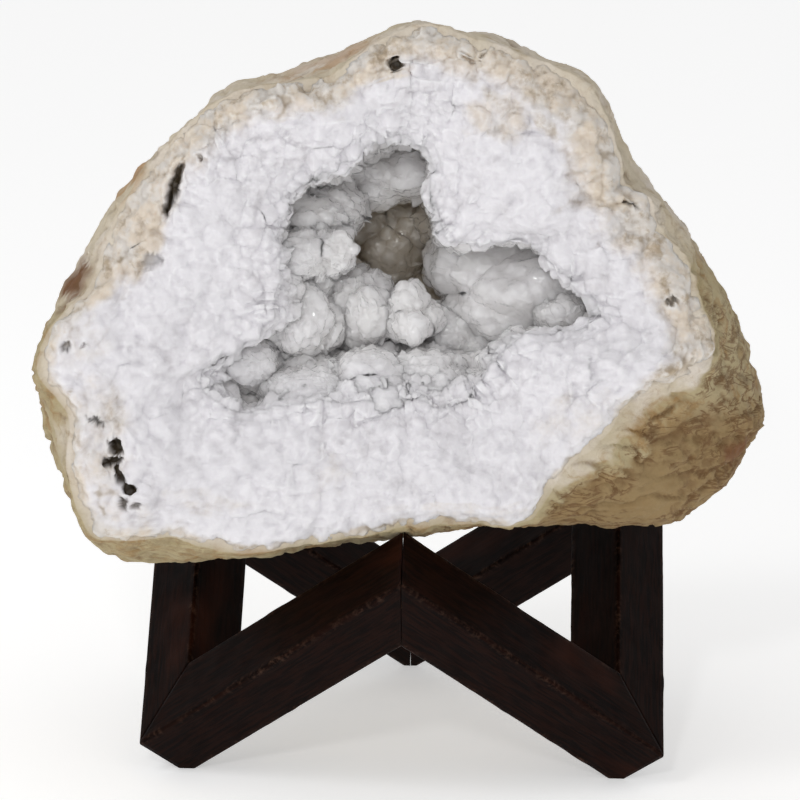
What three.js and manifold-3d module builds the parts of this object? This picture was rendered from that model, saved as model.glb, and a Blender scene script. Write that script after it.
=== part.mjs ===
// Quartz geode resting on a mitred hardwood stand. Millimetres, +Z up, -Y towards the open face.
//
// The stand follows six edges of a cube that balances on one corner: three feet, three seats, and
// a closed zigzag of square rails between them, mitred and dowelled at every turn. The geode is a
// boulder broken open: a thin tan rind, a thick white quartz lining with a deep hollow, and round
// mounds of quartz crystals that grew from the wall of the hollow.
import * as THREE from "three";
import { ConvexGeometry } from "three/addons/geometries/ConvexGeometry.js";
import { mergeVertices } from "three/addons/utils/BufferGeometryUtils.js";
import Module from "manifold-3d";

// ---- Driving dimensions: the stand ----
const CUBE_EDGE = 208; // outer edge of the cube that the rails follow
const RAIL_SIDE = 38; // square section of a rail
const FOOT_CUT = 4; // height sawn off the lowest corner of each foot
const SEAT_CUT = 1.5; // height eased off the highest corner of each seat
const MITRE_GAP = 0.3; // between two rails, measured across the mitre
const DOWEL_RADIUS = 4;
const DOWEL_LENGTH = 30;
const DOWEL_SPACING = 18; // between the two dowels of one mitre
const DOWEL_CLEARANCE = 0.35;

// ---- Driving dimensions: the geode ----
const FACE_CENTRE = new THREE.Vector3(-2.3, -127.2, 285); // middle of the broken face
const FACE_LEAN = THREE.MathUtils.degToRad(8); // the face leans back from upright
const STONE_DEPTH = 270; // from the face to the back of the boulder
const RIND_THICKNESS = 8;
const RIND_GAP = 0.8; // between the rind and the quartz, measured across the face
const MOUND_GAP = 0.5; // between a crystal mound and its neighbours
const STAND_GAP = 0.4; // between the stone and the wood
const HOLLOW_DEPTH = 152;
const HOLLOW_RISE = 12; // the deepest point of the hollow is above the middle of its mouth
const BACK_DRIFT = { u: 14, v: -3 }; // the back pole lies this far across and up
const BACK_BLUNTNESS = 2.3; // exponent of the superellipse that closes the back

// Radii from the face centre every 15 degrees, anticlockwise from the right as seen from the front.
const RIM_RADII = [
  163, 147, 137, 150, 149, 148, 146, 130, 135, 146, 153, 161,
  170, 197, 207, 178, 160, 134, 124, 127, 136, 127, 128, 148,
];
const GIRTH_RADII = [
  182, 158, 148, 155, 151, 150, 149, 141, 140, 149, 158, 171,
  192, 210, 218, 212, 171, 149, 139, 142, 156, 187, 214, 208,
];
const MOUTH_RADII = [
  106, 80, 54, 43, 48, 72, 84, 78, 73, 74, 70, 67,
  79, 106, 116, 100, 72, 62, 60, 63, 70, 70, 70, 92,
];
const GIRTH_DEPTH = 62; // how far behind the face the boulder is widest
const MOUTH_CENTRE = { u: -5, v: 5 };
const MOUTH_DEPTH = 16;

// The broken quartz between rind and mouth: how far across, and how far it stands proud.
const FACE_PROFILE = [
  [0.2, 5],
  [0.55, 8],
  [0.85, 4],
];
// The hollow as it deepens: share of the mouth's radius, share on the sloping floor, depth.
const HOLLOW_PROFILE = [
  [1, 0.93, 18],
  [1.03, 0.78, 34],
  [0.97, 0.6, 58],
  [0.83, 0.45, 86],
  [0.62, 0.35, 114],
  [0.35, 0.22, 138],
];
// Slow waves in the broken rim: waves around the stone, height, phase.
const RIM_WAVES = [
  [3, 3, 0.8],
  [5, 2, 0],
];
// Slow swells of the boulder's skin: waves around, height, twist per millimetre of depth, phase.
const SWELLS = [
  [3, 3, 1 / 45, 0],
  [5, 2.4, -1 / 33, -1],
  [8, 1.2, 1 / 20, 0],
];
// Facets of a crystal mound: waves and height for each direction.
const FACETS = { x: 7, y: 6, z: 9, across: 0.05, deep: 0.04 };

// Each mound: name, across and up from the face centre, depth behind the face, radius.
const MOUNDS = [
  ["centre_ball", 3, -13, 48, 15],
  ["centre_mound", -27, -8, 66, 25],
  ["left_ledge", -48, 24, 44, 19],
  ["upper_left_block", -44, 41, 68, 20],
  ["left_mound", -58, -5, 56, 23],
  ["lower_left_mound", -87, -39, 42, 24],
  ["floor_left_mound", -57, -55, 34, 26],
  ["floor_middle_mound", -22, -54, 36, 25],
  ["floor_right_mound", 16, -54, 36, 25],
  ["right_wall_mound", 48, 5, 98, 40],
  ["right_lower_mound", 32, -29, 74, 25],
  ["right_pocket_mound", 89, -12, 52, 19],
  ["back_mound", -11, 23, 135, 30],
  ["roof_mound", -16, 64, 88, 25],
  ["right_crest_inner", 60, -32, 26, 16],
  ["right_crest_outer", 86, -28, 24, 15],
];

// ---- Resolution ----
const AROUND = 48;
const FLARE_STEPS = 4;
const BACK_STEPS = 7;
const DOWEL_SIDES = 12;
const MOUND_DETAIL = 1;

const wasm = await Module();
wasm.setup();

const { sin, cos, PI } = Math;

// ---- Solids and meshes ----

// A closed three.js geometry as a manifold-3d solid.
function toSolid(geometry) {
  const bare = geometry.clone();
  for (const name of ["normal", "uv"]) bare.deleteAttribute(name);
  const merged = mergeVertices(bare, 1e-4);
  return new wasm.Manifold(
    new wasm.Mesh({
      numProp: 3,
      vertProperties: merged.attributes.position.array,
      triVerts: new Uint32Array(merged.index.array),
    }),
  );
}

// A solid back as a three.js geometry.
function toGeometry(solid) {
  const mesh = solid.getMesh();
  const geometry = new THREE.BufferGeometry();
  geometry.setAttribute("position", new THREE.BufferAttribute(mesh.vertProperties, 3));
  geometry.setIndex(new THREE.BufferAttribute(mesh.triVerts, 1));
  geometry.computeVertexNormals();
  return geometry;
}

// The largest body of a solid, without the crumbs that a cut can leave.
function largestBody(solid) {
  const bodies = solid.decompose();
  return bodies.reduce((best, body) => (body.volume() > best.volume() ? body : best));
}

// A closed geometry from rings of points. The first and the last entry are single points.
function skinOfRings([firstPoint, ...rest]) {
  const lastPoint = rest.pop();
  const points = [firstPoint, ...rest.flat(), lastPoint];
  const last = points.length - 1;
  const faces = [];
  for (let i = 0; i < AROUND; i++) {
    const next = (i + 1) % AROUND;
    faces.push([0, 1 + next, 1 + i]);
    rest.slice(1).forEach((_, ring) => {
      const near = 1 + ring * AROUND;
      const far = near + AROUND;
      faces.push([near + i, near + next, far + next], [near + i, far + next, far + i]);
    });
    faces.push([last, last - AROUND + i, last - AROUND + next]);
  }
  const geometry = new THREE.BufferGeometry().setFromPoints(points);
  geometry.setIndex(faces.flat());
  return geometry;
}

// ---- The stand ----

const ringRadius = CUBE_EDGE * Math.sqrt(2 / 3);
const layerHeight = CUBE_EDGE / Math.sqrt(3);
const footDrop = RAIL_SIDE / Math.sqrt(3) - FOOT_CUT; // from a lower cube corner to the floor
const standHeight = (CUBE_EDGE + 2 * RAIL_SIDE) / Math.sqrt(3) - FOOT_CUT - SEAT_CUT;

// The six turns of the zigzag in order, starting at the front seat and going left.
const TURNS = ["front_seat", "left_foot", "left_seat", "back_foot", "right_seat", "right_foot"];
const RAIL_NAMES = [
  "front_left_rail",
  "left_rail",
  "back_left_rail",
  "back_right_rail",
  "right_rail",
  "front_right_rail",
];

// A turn's cube corner, and the direction of the cube edge there that has no rail.
function turn(index) {
  const angle = -PI / 2 - (index * PI) / 3;
  const isSeat = index % 2 === 0;
  const height = footDrop + (isSeat ? layerHeight : 0);
  const at = new THREE.Vector3(ringRadius * cos(angle), ringRadius * sin(angle), height);
  const pole = new THREE.Vector3(0, 0, height + (isSeat ? layerHeight : -layerHeight));
  return { at, free: pole.sub(at).normalize() };
}

// The corners of a rail's end at turn `index`, for the rail that runs to turn `other`.
function railEnd(index, other, side, gap) {
  const { at, free } = turn(index);
  const along = turn(other).at.sub(at).normalize();
  const neighbour = 2 * index - other;
  const across = turn(neighbour).at.sub(at).normalize();
  const start = at.clone().addScaledVector(along, gap / Math.SQRT2);
  const inner = start.clone().addScaledVector(along, side).addScaledVector(across, side);
  return [start, inner].flatMap((p) => [p, p.clone().addScaledVector(free, side)]);
}

// A slab wider than the stand, reaching up (+1) or down (-1) from a height.
function slabFrom(z, direction) {
  const slab = new THREE.BoxGeometry(4 * CUBE_EDGE, 4 * CUBE_EDGE, CUBE_EDGE);
  return toSolid(slab.translate(0, 0, z + (direction * CUBE_EDGE) / 2));
}

// A dowel across the mitre at a turn; side -1 is the one nearer the mitre's sharp outer edge.
function dowelGeometry(index, side, radius, length) {
  const { at, free } = turn(index);
  const toNext = turn(index + 1).at.sub(at).normalize();
  const toLast = turn(index - 1).at.sub(at).normalize();
  const centre = at
    .clone()
    .addScaledVector(toNext, RAIL_SIDE / 2)
    .addScaledVector(toLast, RAIL_SIDE / 2)
    .addScaledVector(free, RAIL_SIDE / 2 + (side * DOWEL_SPACING) / 2);
  const axis = toNext.clone().sub(toLast).normalize();
  const turned = new THREE.Quaternion().setFromUnitVectors(new THREE.Vector3(0, 1, 0), axis);
  return new THREE.CylinderGeometry(radius, radius, length, DOWEL_SIDES)
    .applyQuaternion(turned)
    .translate(centre.x, centre.y, centre.z);
}

const dowelPlaces = TURNS.flatMap((_, index) => [-1, 1].map((side) => ({ index, side })));

// A square rail between two turns, with its mitred ends, sawn corners and dowel holes.
function railSolid(index) {
  const corners = [
    ...railEnd(index, index + 1, RAIL_SIDE, MITRE_GAP),
    ...railEnd(index + 1, index, RAIL_SIDE, MITRE_GAP),
  ];
  let rail = toSolid(new ConvexGeometry(corners));
  rail = rail.subtract(slabFrom(0, -1)).subtract(slabFrom(standHeight, 1));
  for (const place of dowelPlaces) {
    if (place.index !== index && place.index !== (index + 1) % TURNS.length) continue;
    const hole = dowelGeometry(
      place.index,
      place.side,
      DOWEL_RADIUS + DOWEL_CLEARANCE,
      DOWEL_LENGTH + 2 * DOWEL_CLEARANCE,
    );
    rail = rail.subtract(toSolid(hole));
  }
  return rail;
}

// A rail swollen by the gap that the stone keeps from the wood.
function swollenRail(index) {
  const corners = [
    ...railEnd(index, index + 1, RAIL_SIDE, 0),
    ...railEnd(index + 1, index, RAIL_SIDE, 0),
  ];
  const centre = corners.reduce((sum, p) => sum.add(p), new THREE.Vector3()).divideScalar(8);
  const growth = 1 + (2 * STAND_GAP) / RAIL_SIDE;
  corners.forEach((p) => p.sub(centre).multiplyScalar(growth).add(centre));
  return toSolid(new ConvexGeometry(corners)).subtract(slabFrom(standHeight + STAND_GAP, 1));
}

// ---- The geode ----

const faceAcross = new THREE.Vector3(1, 0, 0);
const faceUp = new THREE.Vector3(0, sin(FACE_LEAN), cos(FACE_LEAN));
const faceInward = new THREE.Vector3(0, cos(FACE_LEAN), -sin(FACE_LEAN));

// A point across, up and behind the broken face.
function facePoint(u, v, w) {
  return FACE_CENTRE.clone()
    .addScaledVector(faceAcross, u)
    .addScaledVector(faceUp, v)
    .addScaledVector(faceInward, w);
}

// A radius at any angle: Catmull-Rom through a list of evenly spaced radii.
function radiusAt(radii, angle) {
  const place = ((angle / (2 * PI)) * radii.length + radii.length) % radii.length;
  const i = Math.floor(place);
  const t = place - i;
  const [a, b, c, d] = [-1, 0, 1, 2].map((k) => radii[(i + k + radii.length) % radii.length]);
  return b + 0.5 * t * (c - a + t * (2 * a - 5 * b + 4 * c - d + t * (3 * (b - c) + d - a)));
}

// How far behind the face's plane the broken rim lies.
function rimDepth(angle) {
  return RIM_WAVES.reduce((sum, [waves, height, phase]) => sum + height * sin(waves * angle + phase), 0);
}

// How far the boulder's skin swells, from nothing at the rim.
function swell(angle, w) {
  const growing = THREE.MathUtils.smoothstep(w, 0, GIRTH_DEPTH);
  const wave = (sum, [waves, height, twist, phase]) => sum + height * sin(waves * angle + w * twist + phase);
  return growing * SWELLS.reduce(wave, 0);
}

// One ring of points, given a function of the angle.
function ringOf(pointAt) {
  return Array.from({ length: AROUND }, (_, i) => pointAt((i / AROUND) * 2 * PI));
}

// The boulder's skin, `inset` below its outer surface, from the back pole to the rim.
function boulderRings(inset) {
  const depth = STONE_DEPTH - inset;
  const rings = [facePoint(BACK_DRIFT.u, BACK_DRIFT.v, depth)];
  for (let step = 1; step <= BACK_STEPS; step++) {
    const turned = (step / BACK_STEPS) * (PI / 2);
    const out = sin(turned) ** (2 / BACK_BLUNTNESS);
    const back = cos(turned) ** (2 / BACK_BLUNTNESS);
    const w = GIRTH_DEPTH + (depth - GIRTH_DEPTH) * back;
    rings.push(
      ringOf((angle) => {
        const r = (radiusAt(GIRTH_RADII, angle) + swell(angle, w) - inset) * out;
        return facePoint(BACK_DRIFT.u * back + r * cos(angle), BACK_DRIFT.v * back + r * sin(angle), w);
      }),
    );
  }
  for (let step = FLARE_STEPS - 1; step >= 0; step--) {
    const t = step / FLARE_STEPS;
    rings.push(
      ringOf((angle) => {
        const rim = radiusAt(RIM_RADII, angle);
        const girth = radiusAt(GIRTH_RADII, angle);
        const w = rimDepth(angle) + (GIRTH_DEPTH - rimDepth(angle)) * t ** 1.4;
        const r = rim + (girth - rim) * (1 - (1 - t) ** 1.7) + swell(angle, w) - inset;
        return facePoint(r * cos(angle), r * sin(angle), w);
      }),
    );
  }
  return rings;
}

// The rind is the whole boulder less everything inside it, open at the broken face.
function rindSolid() {
  const outer = skinOfRings([...boulderRings(0), facePoint(0, 0, 0)]);
  const inner = boulderRings(RIND_THICKNESS);
  const mouth = inner.at(-1).map((p) => p.clone().addScaledVector(faceInward, -RIND_THICKNESS));
  const inside = skinOfRings([...inner, mouth, facePoint(0, 0, -RIND_THICKNESS)]);
  return toSolid(outer).subtract(toSolid(inside));
}

// A ring of the hollow: a share of the mouth's radius, less on the sloping floor.
function hollowRing(share, floorShare, w) {
  return ringOf((angle) => {
    const floor = Math.max(0, -sin(angle)) ** 2;
    const r = radiusAt(MOUTH_RADII, angle) * (share + (floorShare - share) * floor);
    return facePoint(MOUTH_CENTRE.u + r * cos(angle), MOUTH_CENTRE.v + r * sin(angle), w);
  });
}

// A ring of the broken quartz face, `t` of the way from the rind to the mouth of the hollow.
function faceRing(t, bulge) {
  const rimRing = ringOf((angle) => {
    const r = radiusAt(RIM_RADII, angle) - RIND_THICKNESS - RIND_GAP;
    return facePoint(r * cos(angle), r * sin(angle), rimDepth(angle));
  });
  const mouthRing = hollowRing(1, 1, MOUTH_DEPTH);
  return rimRing.map((p, i) => p.lerp(mouthRing[i], t).addScaledVector(faceInward, -bulge));
}

// The quartz lining: against the rind outside, broken at the face, hollow within.
function liningSolid() {
  const outer = boulderRings(RIND_THICKNESS + RIND_GAP);
  const face = FACE_PROFILE.map(([t, bulge]) => faceRing(t, bulge));
  const hollow = HOLLOW_PROFILE.map(([share, floorShare, w]) => hollowRing(share, floorShare, w));
  const deepest = facePoint(MOUTH_CENTRE.u, MOUTH_CENTRE.v + HOLLOW_RISE, HOLLOW_DEPTH);
  return toSolid(skinOfRings([...outer, ...face, ...hollow, deepest]));
}

// A rounded lump with uneven facets, `grown` wider all round.
function moundSolid([, u, v, w, radius], grown) {
  const lump = new THREE.IcosahedronGeometry(1, MOUND_DETAIL);
  const position = lump.attributes.position;
  const p = new THREE.Vector3();
  for (let i = 0; i < position.count; i++) {
    p.fromBufferAttribute(position, i).normalize();
    const across = FACETS.across * sin(FACETS.x * p.x + u) * sin(FACETS.y * p.y + v);
    const deep = FACETS.deep * sin(FACETS.z * p.z + w);
    p.multiplyScalar(radius * (1 + across + deep) + grown);
    position.setXYZ(i, p.x, p.y, p.z);
  }
  const centre = facePoint(u, v, w);
  return toSolid(lump.translate(centre.x, centre.y, centre.z));
}

// ---- The whole object ----

const wood = () => new THREE.MeshStandardMaterial({ color: 0x2a1712, roughness: 0.45, metalness: 0 });
const dowelWood = () => new THREE.MeshStandardMaterial({ color: 0xb98d5a, roughness: 0.7, metalness: 0 });
const tanRind = () => new THREE.MeshStandardMaterial({ color: 0xc0ad86, roughness: 0.85, metalness: 0 });
const whiteQuartz = () => new THREE.MeshStandardMaterial({ color: 0xe9e7ec, roughness: 0.5, metalness: 0 });
const clearQuartz = () => new THREE.MeshStandardMaterial({ color: 0xd3d5d4, roughness: 0.25, metalness: 0 });

const object = new THREE.Group();

function addNode(name, solid, material) {
  const mesh = new THREE.Mesh(toGeometry(solid), material);
  mesh.name = name;
  object.add(mesh);
}

RAIL_NAMES.forEach((name, index) => addNode(name, railSolid(index), wood()));

for (const { index, side } of dowelPlaces) {
  const name = `${TURNS[index]}_${side < 0 ? "outer" : "inner"}_dowel`;
  const dowel = dowelGeometry(index, side, DOWEL_RADIUS, DOWEL_LENGTH);
  addNode(name, toSolid(dowel), dowelWood());
}

let rind = rindSolid();
for (const index of RAIL_NAMES.keys()) rind = rind.subtract(swollenRail(index));

let lining = liningSolid();
MOUNDS.forEach((mound, index) => {
  let solid = moundSolid(mound, 0);
  for (const earlier of MOUNDS.slice(0, index)) solid = solid.subtract(moundSolid(earlier, MOUND_GAP));
  lining = lining.subtract(moundSolid(mound, MOUND_GAP));
  addNode(`crystal_${mound[0]}`, largestBody(solid), clearQuartz());
});
addNode("rind", largestBody(rind), tanRind());
addNode("quartz_lining", largestBody(lining), whiteQuartz());

// The origin is the middle of the whole object's footprint, on the floor.
const bounds = new THREE.Box3().setFromObject(object);
const middle = bounds.getCenter(new THREE.Vector3());
object.position.set(-middle.x, -middle.y, 0);

export default object;
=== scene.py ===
"""The looks of a quartz geode on a mitred hardwood stand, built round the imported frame.

Shapes are worked out in millimetres. A stone point is given across (u), up (v) and behind (w) the
broken face, and a wood point along, down and across its own rail. Meshes are written in metres.
"""
import logging
import math
from dataclasses import dataclass, field
from enum import Enum
from typing import Iterator

import bmesh
import bpy
import numpy as np
from mathutils import Matrix, Vector


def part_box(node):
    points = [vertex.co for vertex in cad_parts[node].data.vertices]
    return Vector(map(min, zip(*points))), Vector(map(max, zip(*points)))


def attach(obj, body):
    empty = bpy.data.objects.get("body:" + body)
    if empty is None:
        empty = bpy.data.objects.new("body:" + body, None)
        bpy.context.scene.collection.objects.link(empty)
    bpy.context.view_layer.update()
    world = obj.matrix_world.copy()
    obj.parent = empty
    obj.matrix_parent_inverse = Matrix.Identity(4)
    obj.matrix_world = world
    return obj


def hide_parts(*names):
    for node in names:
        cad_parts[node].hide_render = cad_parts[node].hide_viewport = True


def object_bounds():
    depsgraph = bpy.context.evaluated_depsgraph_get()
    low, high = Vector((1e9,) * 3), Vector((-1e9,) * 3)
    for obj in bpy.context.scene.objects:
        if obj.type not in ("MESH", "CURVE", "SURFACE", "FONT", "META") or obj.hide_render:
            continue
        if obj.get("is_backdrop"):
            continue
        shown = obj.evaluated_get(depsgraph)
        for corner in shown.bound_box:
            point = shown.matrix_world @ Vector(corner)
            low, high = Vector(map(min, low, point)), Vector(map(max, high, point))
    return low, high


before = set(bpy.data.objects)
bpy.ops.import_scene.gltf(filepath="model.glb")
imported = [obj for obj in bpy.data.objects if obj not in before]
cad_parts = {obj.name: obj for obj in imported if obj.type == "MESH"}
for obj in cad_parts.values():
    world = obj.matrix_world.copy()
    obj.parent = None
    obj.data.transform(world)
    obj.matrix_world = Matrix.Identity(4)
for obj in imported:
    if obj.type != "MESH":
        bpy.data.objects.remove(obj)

LOG = logging.getLogger("geode")
MM = 0.001
CAD_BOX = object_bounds()


# Seeded patterns

def hashed(cell: np.ndarray, seed: int) -> np.ndarray:
    """Scrambles whole-number lattice cells.

    Args:
        cell: Lattice coordinates, one row of three per point.
        seed: Chooses the pattern.

    Returns:
        One well-mixed 32-bit number per row.
    """
    c = cell.astype(np.int64).astype(np.uint32)
    h = c[:, 0] * np.uint32(0x8DA6B343) ^ c[:, 1] * np.uint32(0xD8163841)
    h ^= c[:, 2] * np.uint32(0xCB1AB31F) ^ np.uint32((seed * 0x9E3779B9) & 0xFFFFFFFF)
    for shift, factor in ((16, 0x7FEB352D), (15, 0x846CA68B), (16, 1)):
        h ^= h >> np.uint32(shift)
        h *= np.uint32(factor)
    return h


def random_vectors(code: np.ndarray, salt: int) -> np.ndarray:
    """Turns hash codes into repeatable vectors.

    Args:
        code: One hash code per row.
        salt: Chooses an independent set of vectors.

    Returns:
        One vector per code, each part between 0 and 1.
    """
    parts = []
    for k in range(3):
        h = code * np.uint32(0x9E3779B1 + 2 * (salt * 3 + k)) + np.uint32(salt * 977 + k * 131)
        h ^= h >> np.uint32(15)
        h *= np.uint32(0x85EBCA6B)
        h ^= h >> np.uint32(13)
        parts.append((h & np.uint32(0xFFFFFF)) / float(0xFFFFFF))
    return np.stack(parts, -1)


def smoothstep(low: float, high: float, x: np.ndarray) -> np.ndarray:
    """An S-curve from 0 at low to 1 at high."""
    t = np.clip((x - low) / (high - low), 0.0, 1.0)
    return t * t * (3 - 2 * t)


def value_noise(points: np.ndarray, size: float, seed: int) -> np.ndarray:
    """Smooth random noise.

    Args:
        points: Rows of three coordinates.
        size: Distance over which the noise changes, in the same unit.
        seed: Chooses the pattern.

    Returns:
        One value from -1 to 1 per point.
    """
    p = points / size
    base = np.floor(p)
    t = p - base
    t = t * t * (3 - 2 * t)
    total = np.zeros(len(p))
    for corner in np.ndindex(2, 2, 2):
        weight = np.ones(len(p))
        for axis, side in enumerate(corner):
            weight = weight * (t[:, axis] if side else 1 - t[:, axis])
        total += weight * random_vectors(hashed(base + corner, seed), 0)[:, 0]
    return total * 2 - 1


def layered_noise(points: np.ndarray, size: float, octaves: int, seed: int) -> np.ndarray:
    """Noise with finer and weaker layers added to it.

    Args:
        points: Rows of three coordinates.
        size: Size of the coarsest layer.
        octaves: How many layers.
        seed: Chooses the pattern.

    Returns:
        One value of about -1 to 1 per point.
    """
    total = np.zeros(len(points))
    weight = 1.0
    for k in range(octaves):
        total += weight * value_noise(points, size / 2**k, seed + 17 * k)
        weight *= 0.5
    return total / (2 - 2 * 0.5**octaves)


def nearby_seeds(
    points: np.ndarray, spacing: float, seed: int
) -> Iterator[tuple[np.ndarray, np.ndarray]]:
    """Visits the scattered seeds around each point.

    Args:
        points: Rows of three coordinates.
        spacing: Mean distance between seeds.
        seed: Chooses the pattern.

    Yields:
        The vector from a neighbouring seed to each point, and that seed's hash code.
    """
    base = np.floor(points / spacing)
    for offset in np.ndindex(3, 3, 3):
        cell = base + (np.array(offset) - 1)
        code = hashed(cell, seed)
        place = (cell + 0.1 + 0.8 * random_vectors(code, 1)) * spacing
        yield points - place, code


def round_lumps(points: np.ndarray, spacing: float, seed: int) -> np.ndarray:
    """Close-packed rounded swellings with creases between them.

    Args:
        points: Rows of three coordinates.
        spacing: Mean distance between swellings.
        seed: Chooses the pattern.

    Returns:
        A height from 0 in a crease to 1 on a crown, per point.
    """
    nearest = np.full(len(points), np.inf)
    for away, _ in nearby_seeds(points, spacing, seed):
        nearest = np.minimum(nearest, (away * away).sum(-1))
    return np.clip(1 - nearest / (0.9 * spacing) ** 2, 0, 1)


def lump_layers(
    points: np.ndarray, layers: tuple[tuple[float, float, int], ...]
) -> np.ndarray:
    """Adds up swellings of several sizes.

    Args:
        points: Rows of three coordinates.
        layers: Height, spacing and seed of each set of swellings.

    Returns:
        Their joint height at each point.
    """
    return sum(height * round_lumps(points, spacing, seed) for height, spacing, seed in layers)


def ring_angles(count: int) -> np.ndarray:
    """Even angles once round a ring, in radians."""
    return np.arange(count) / count * 2 * math.pi


def unit(vectors: np.ndarray) -> np.ndarray:
    """The same directions at length 1."""
    return vectors / np.maximum(np.linalg.norm(vectors, axis=-1, keepdims=True), 1e-12)


@dataclass(frozen=True)
class Druse:
    """A close crust of six-sided quartz points.

    Attributes:
        spacing: Mean distance between points, in millimetres.
        slope: Rise over run of a point's faces.
        lean: How far the points lean from the surface's normal.
        height: Height of a point's tip over its seed, as a share of the spacing.
        seed: Chooses the pattern.
    """

    spacing: float
    slope: float = 0.95
    lean: float = 0.55
    height: float = 0.55
    seed: int = 5

    def rise(self, points: np.ndarray, normals: np.ndarray) -> np.ndarray:
        """How far the crust stands out of a surface.

        Args:
            points: Points on the smooth surface.
            normals: The surface's unit normals there.

        Returns:
            Millimetres along the normal, about zero on average.
        """
        top = np.full(len(points), -np.inf)
        for away, code in nearby_seeds(points, self.spacing, self.seed):
            outward = (away * normals).sum(-1)
            flat = away - outward[:, None] * normals
            axis = unit(normals + self.lean * (2 * random_vectors(code, 2) - 1))
            side = unit(np.cross(axis, random_vectors(code, 3) - 0.5))
            other = np.cross(axis, side)
            x, y = (flat * side).sum(-1), (flat * other).sum(-1)
            reach = np.abs(x)
            for turn in (math.pi / 3, 2 * math.pi / 3):
                reach = np.maximum(reach, np.abs(x * math.cos(turn) + y * math.sin(turn)))
            tip = self.spacing * self.height * (0.6 + 0.8 * random_vectors(code, 4)[:, 0])
            crystal = tip - self.slope * reach - (flat * axis).sum(-1) - 0.9 * np.abs(outward)
            top = np.maximum(top, crystal)
        return np.maximum(top, -0.6 * self.spacing)


# Surfaces made of points

@dataclass
class Surface:
    """Points joined by faces, with a named number at each point where a finish needs one."""

    points: np.ndarray
    quads: np.ndarray
    triangles: np.ndarray = field(default_factory=lambda: np.zeros((0, 3), np.int64))
    numbers: dict[str, np.ndarray] = field(default_factory=dict)

    def normals(self) -> np.ndarray:
        """Unit normals at the points.

        Returns:
            One normal per point.
        """
        total = np.zeros_like(self.points)
        p = self.points
        for faces, a, b, c, d in (
            (self.quads, 0, 2, 1, 3),
            (self.triangles, 0, 1, 0, 2),
        ):
            if not len(faces):
                continue
            cross = np.cross(p[faces[:, b]] - p[faces[:, a]], p[faces[:, d]] - p[faces[:, c]])
            for column in range(faces.shape[1]):
                for axis in range(3):
                    total[:, axis] += np.bincount(
                        faces[:, column], cross[:, axis], minlength=len(p)
                    )
        return unit(total)

    def push(self, distance: np.ndarray) -> None:
        """Moves every point along its own normal."""
        self.points = self.points + self.normals() * np.asarray(distance)[:, None]

    def to_object(self, name: str, material: bpy.types.Material) -> bpy.types.Object:
        """Writes the surface as a shaded mesh object.

        Args:
            name: The object's name.
            material: Its finish.

        Returns:
            The new object, linked to the scene.
        """
        mesh = bpy.data.meshes.new(name)
        loops = np.concatenate([self.quads.ravel(), self.triangles.ravel()]).astype(np.int32)
        sizes = np.concatenate([np.full(len(self.quads), 4), np.full(len(self.triangles), 3)])
        starts = np.concatenate([[0], np.cumsum(sizes)[:-1]]).astype(np.int32)
        mesh.vertices.add(len(self.points))
        mesh.vertices.foreach_set("co", (self.points * MM).astype(np.float32).ravel())
        mesh.loops.add(len(loops))
        mesh.loops.foreach_set("vertex_index", loops)
        mesh.polygons.add(len(sizes))
        mesh.polygons.foreach_set("loop_start", starts)
        mesh.update(calc_edges=True)
        mesh.validate()
        mesh.shade_smooth()
        for key, values in self.numbers.items():
            layer = mesh.attributes.new(key, "FLOAT", "POINT")
            layer.data.foreach_set("value", values.astype(np.float32))
        mesh.materials.append(material)
        obj = bpy.data.objects.new(name, mesh)
        bpy.context.scene.collection.objects.link(obj)
        return obj


def ring_surface(rings: np.ndarray) -> Surface:
    """Joins closed rings of points, facing out when they run anticlockwise towards the viewer.

    Args:
        rings: Points as rings, around, three coordinates.

    Returns:
        The joined surface.
    """
    count, around, _ = rings.shape
    i, j = np.meshgrid(np.arange(count - 1), np.arange(around), indexing="ij")
    near = i * around
    j_next = (j + 1) % around
    quads = np.stack([near + j, near + j_next, near + around + j_next, near + around + j], -1)
    return Surface(rings.reshape(-1, 3), quads.reshape(-1, 4))


def cap_openings(bm: bmesh.types.BMesh) -> None:
    """Fills every open end with a flat face."""
    bmesh.ops.holes_fill(bm, edges=[e for e in bm.edges if e.is_boundary])


def ball_surface(subdivisions: int) -> Surface:
    """A ball of radius 1 with even triangles.

    Args:
        subdivisions: How often each triangle is split in four.

    Returns:
        The ball, in millimetres round the origin.
    """
    bm = bmesh.new()
    bmesh.ops.create_icosphere(bm, subdivisions=subdivisions, radius=1.0)
    bm.verts.ensure_lookup_table()
    points = np.array([v.co for v in bm.verts])
    triangles = np.array([[v.index for v in f.verts] for f in bm.faces])
    bm.free()
    return Surface(points, np.zeros((0, 4), np.int64), triangles)


# Finishes

Colour = tuple[float, float, float]


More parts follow.
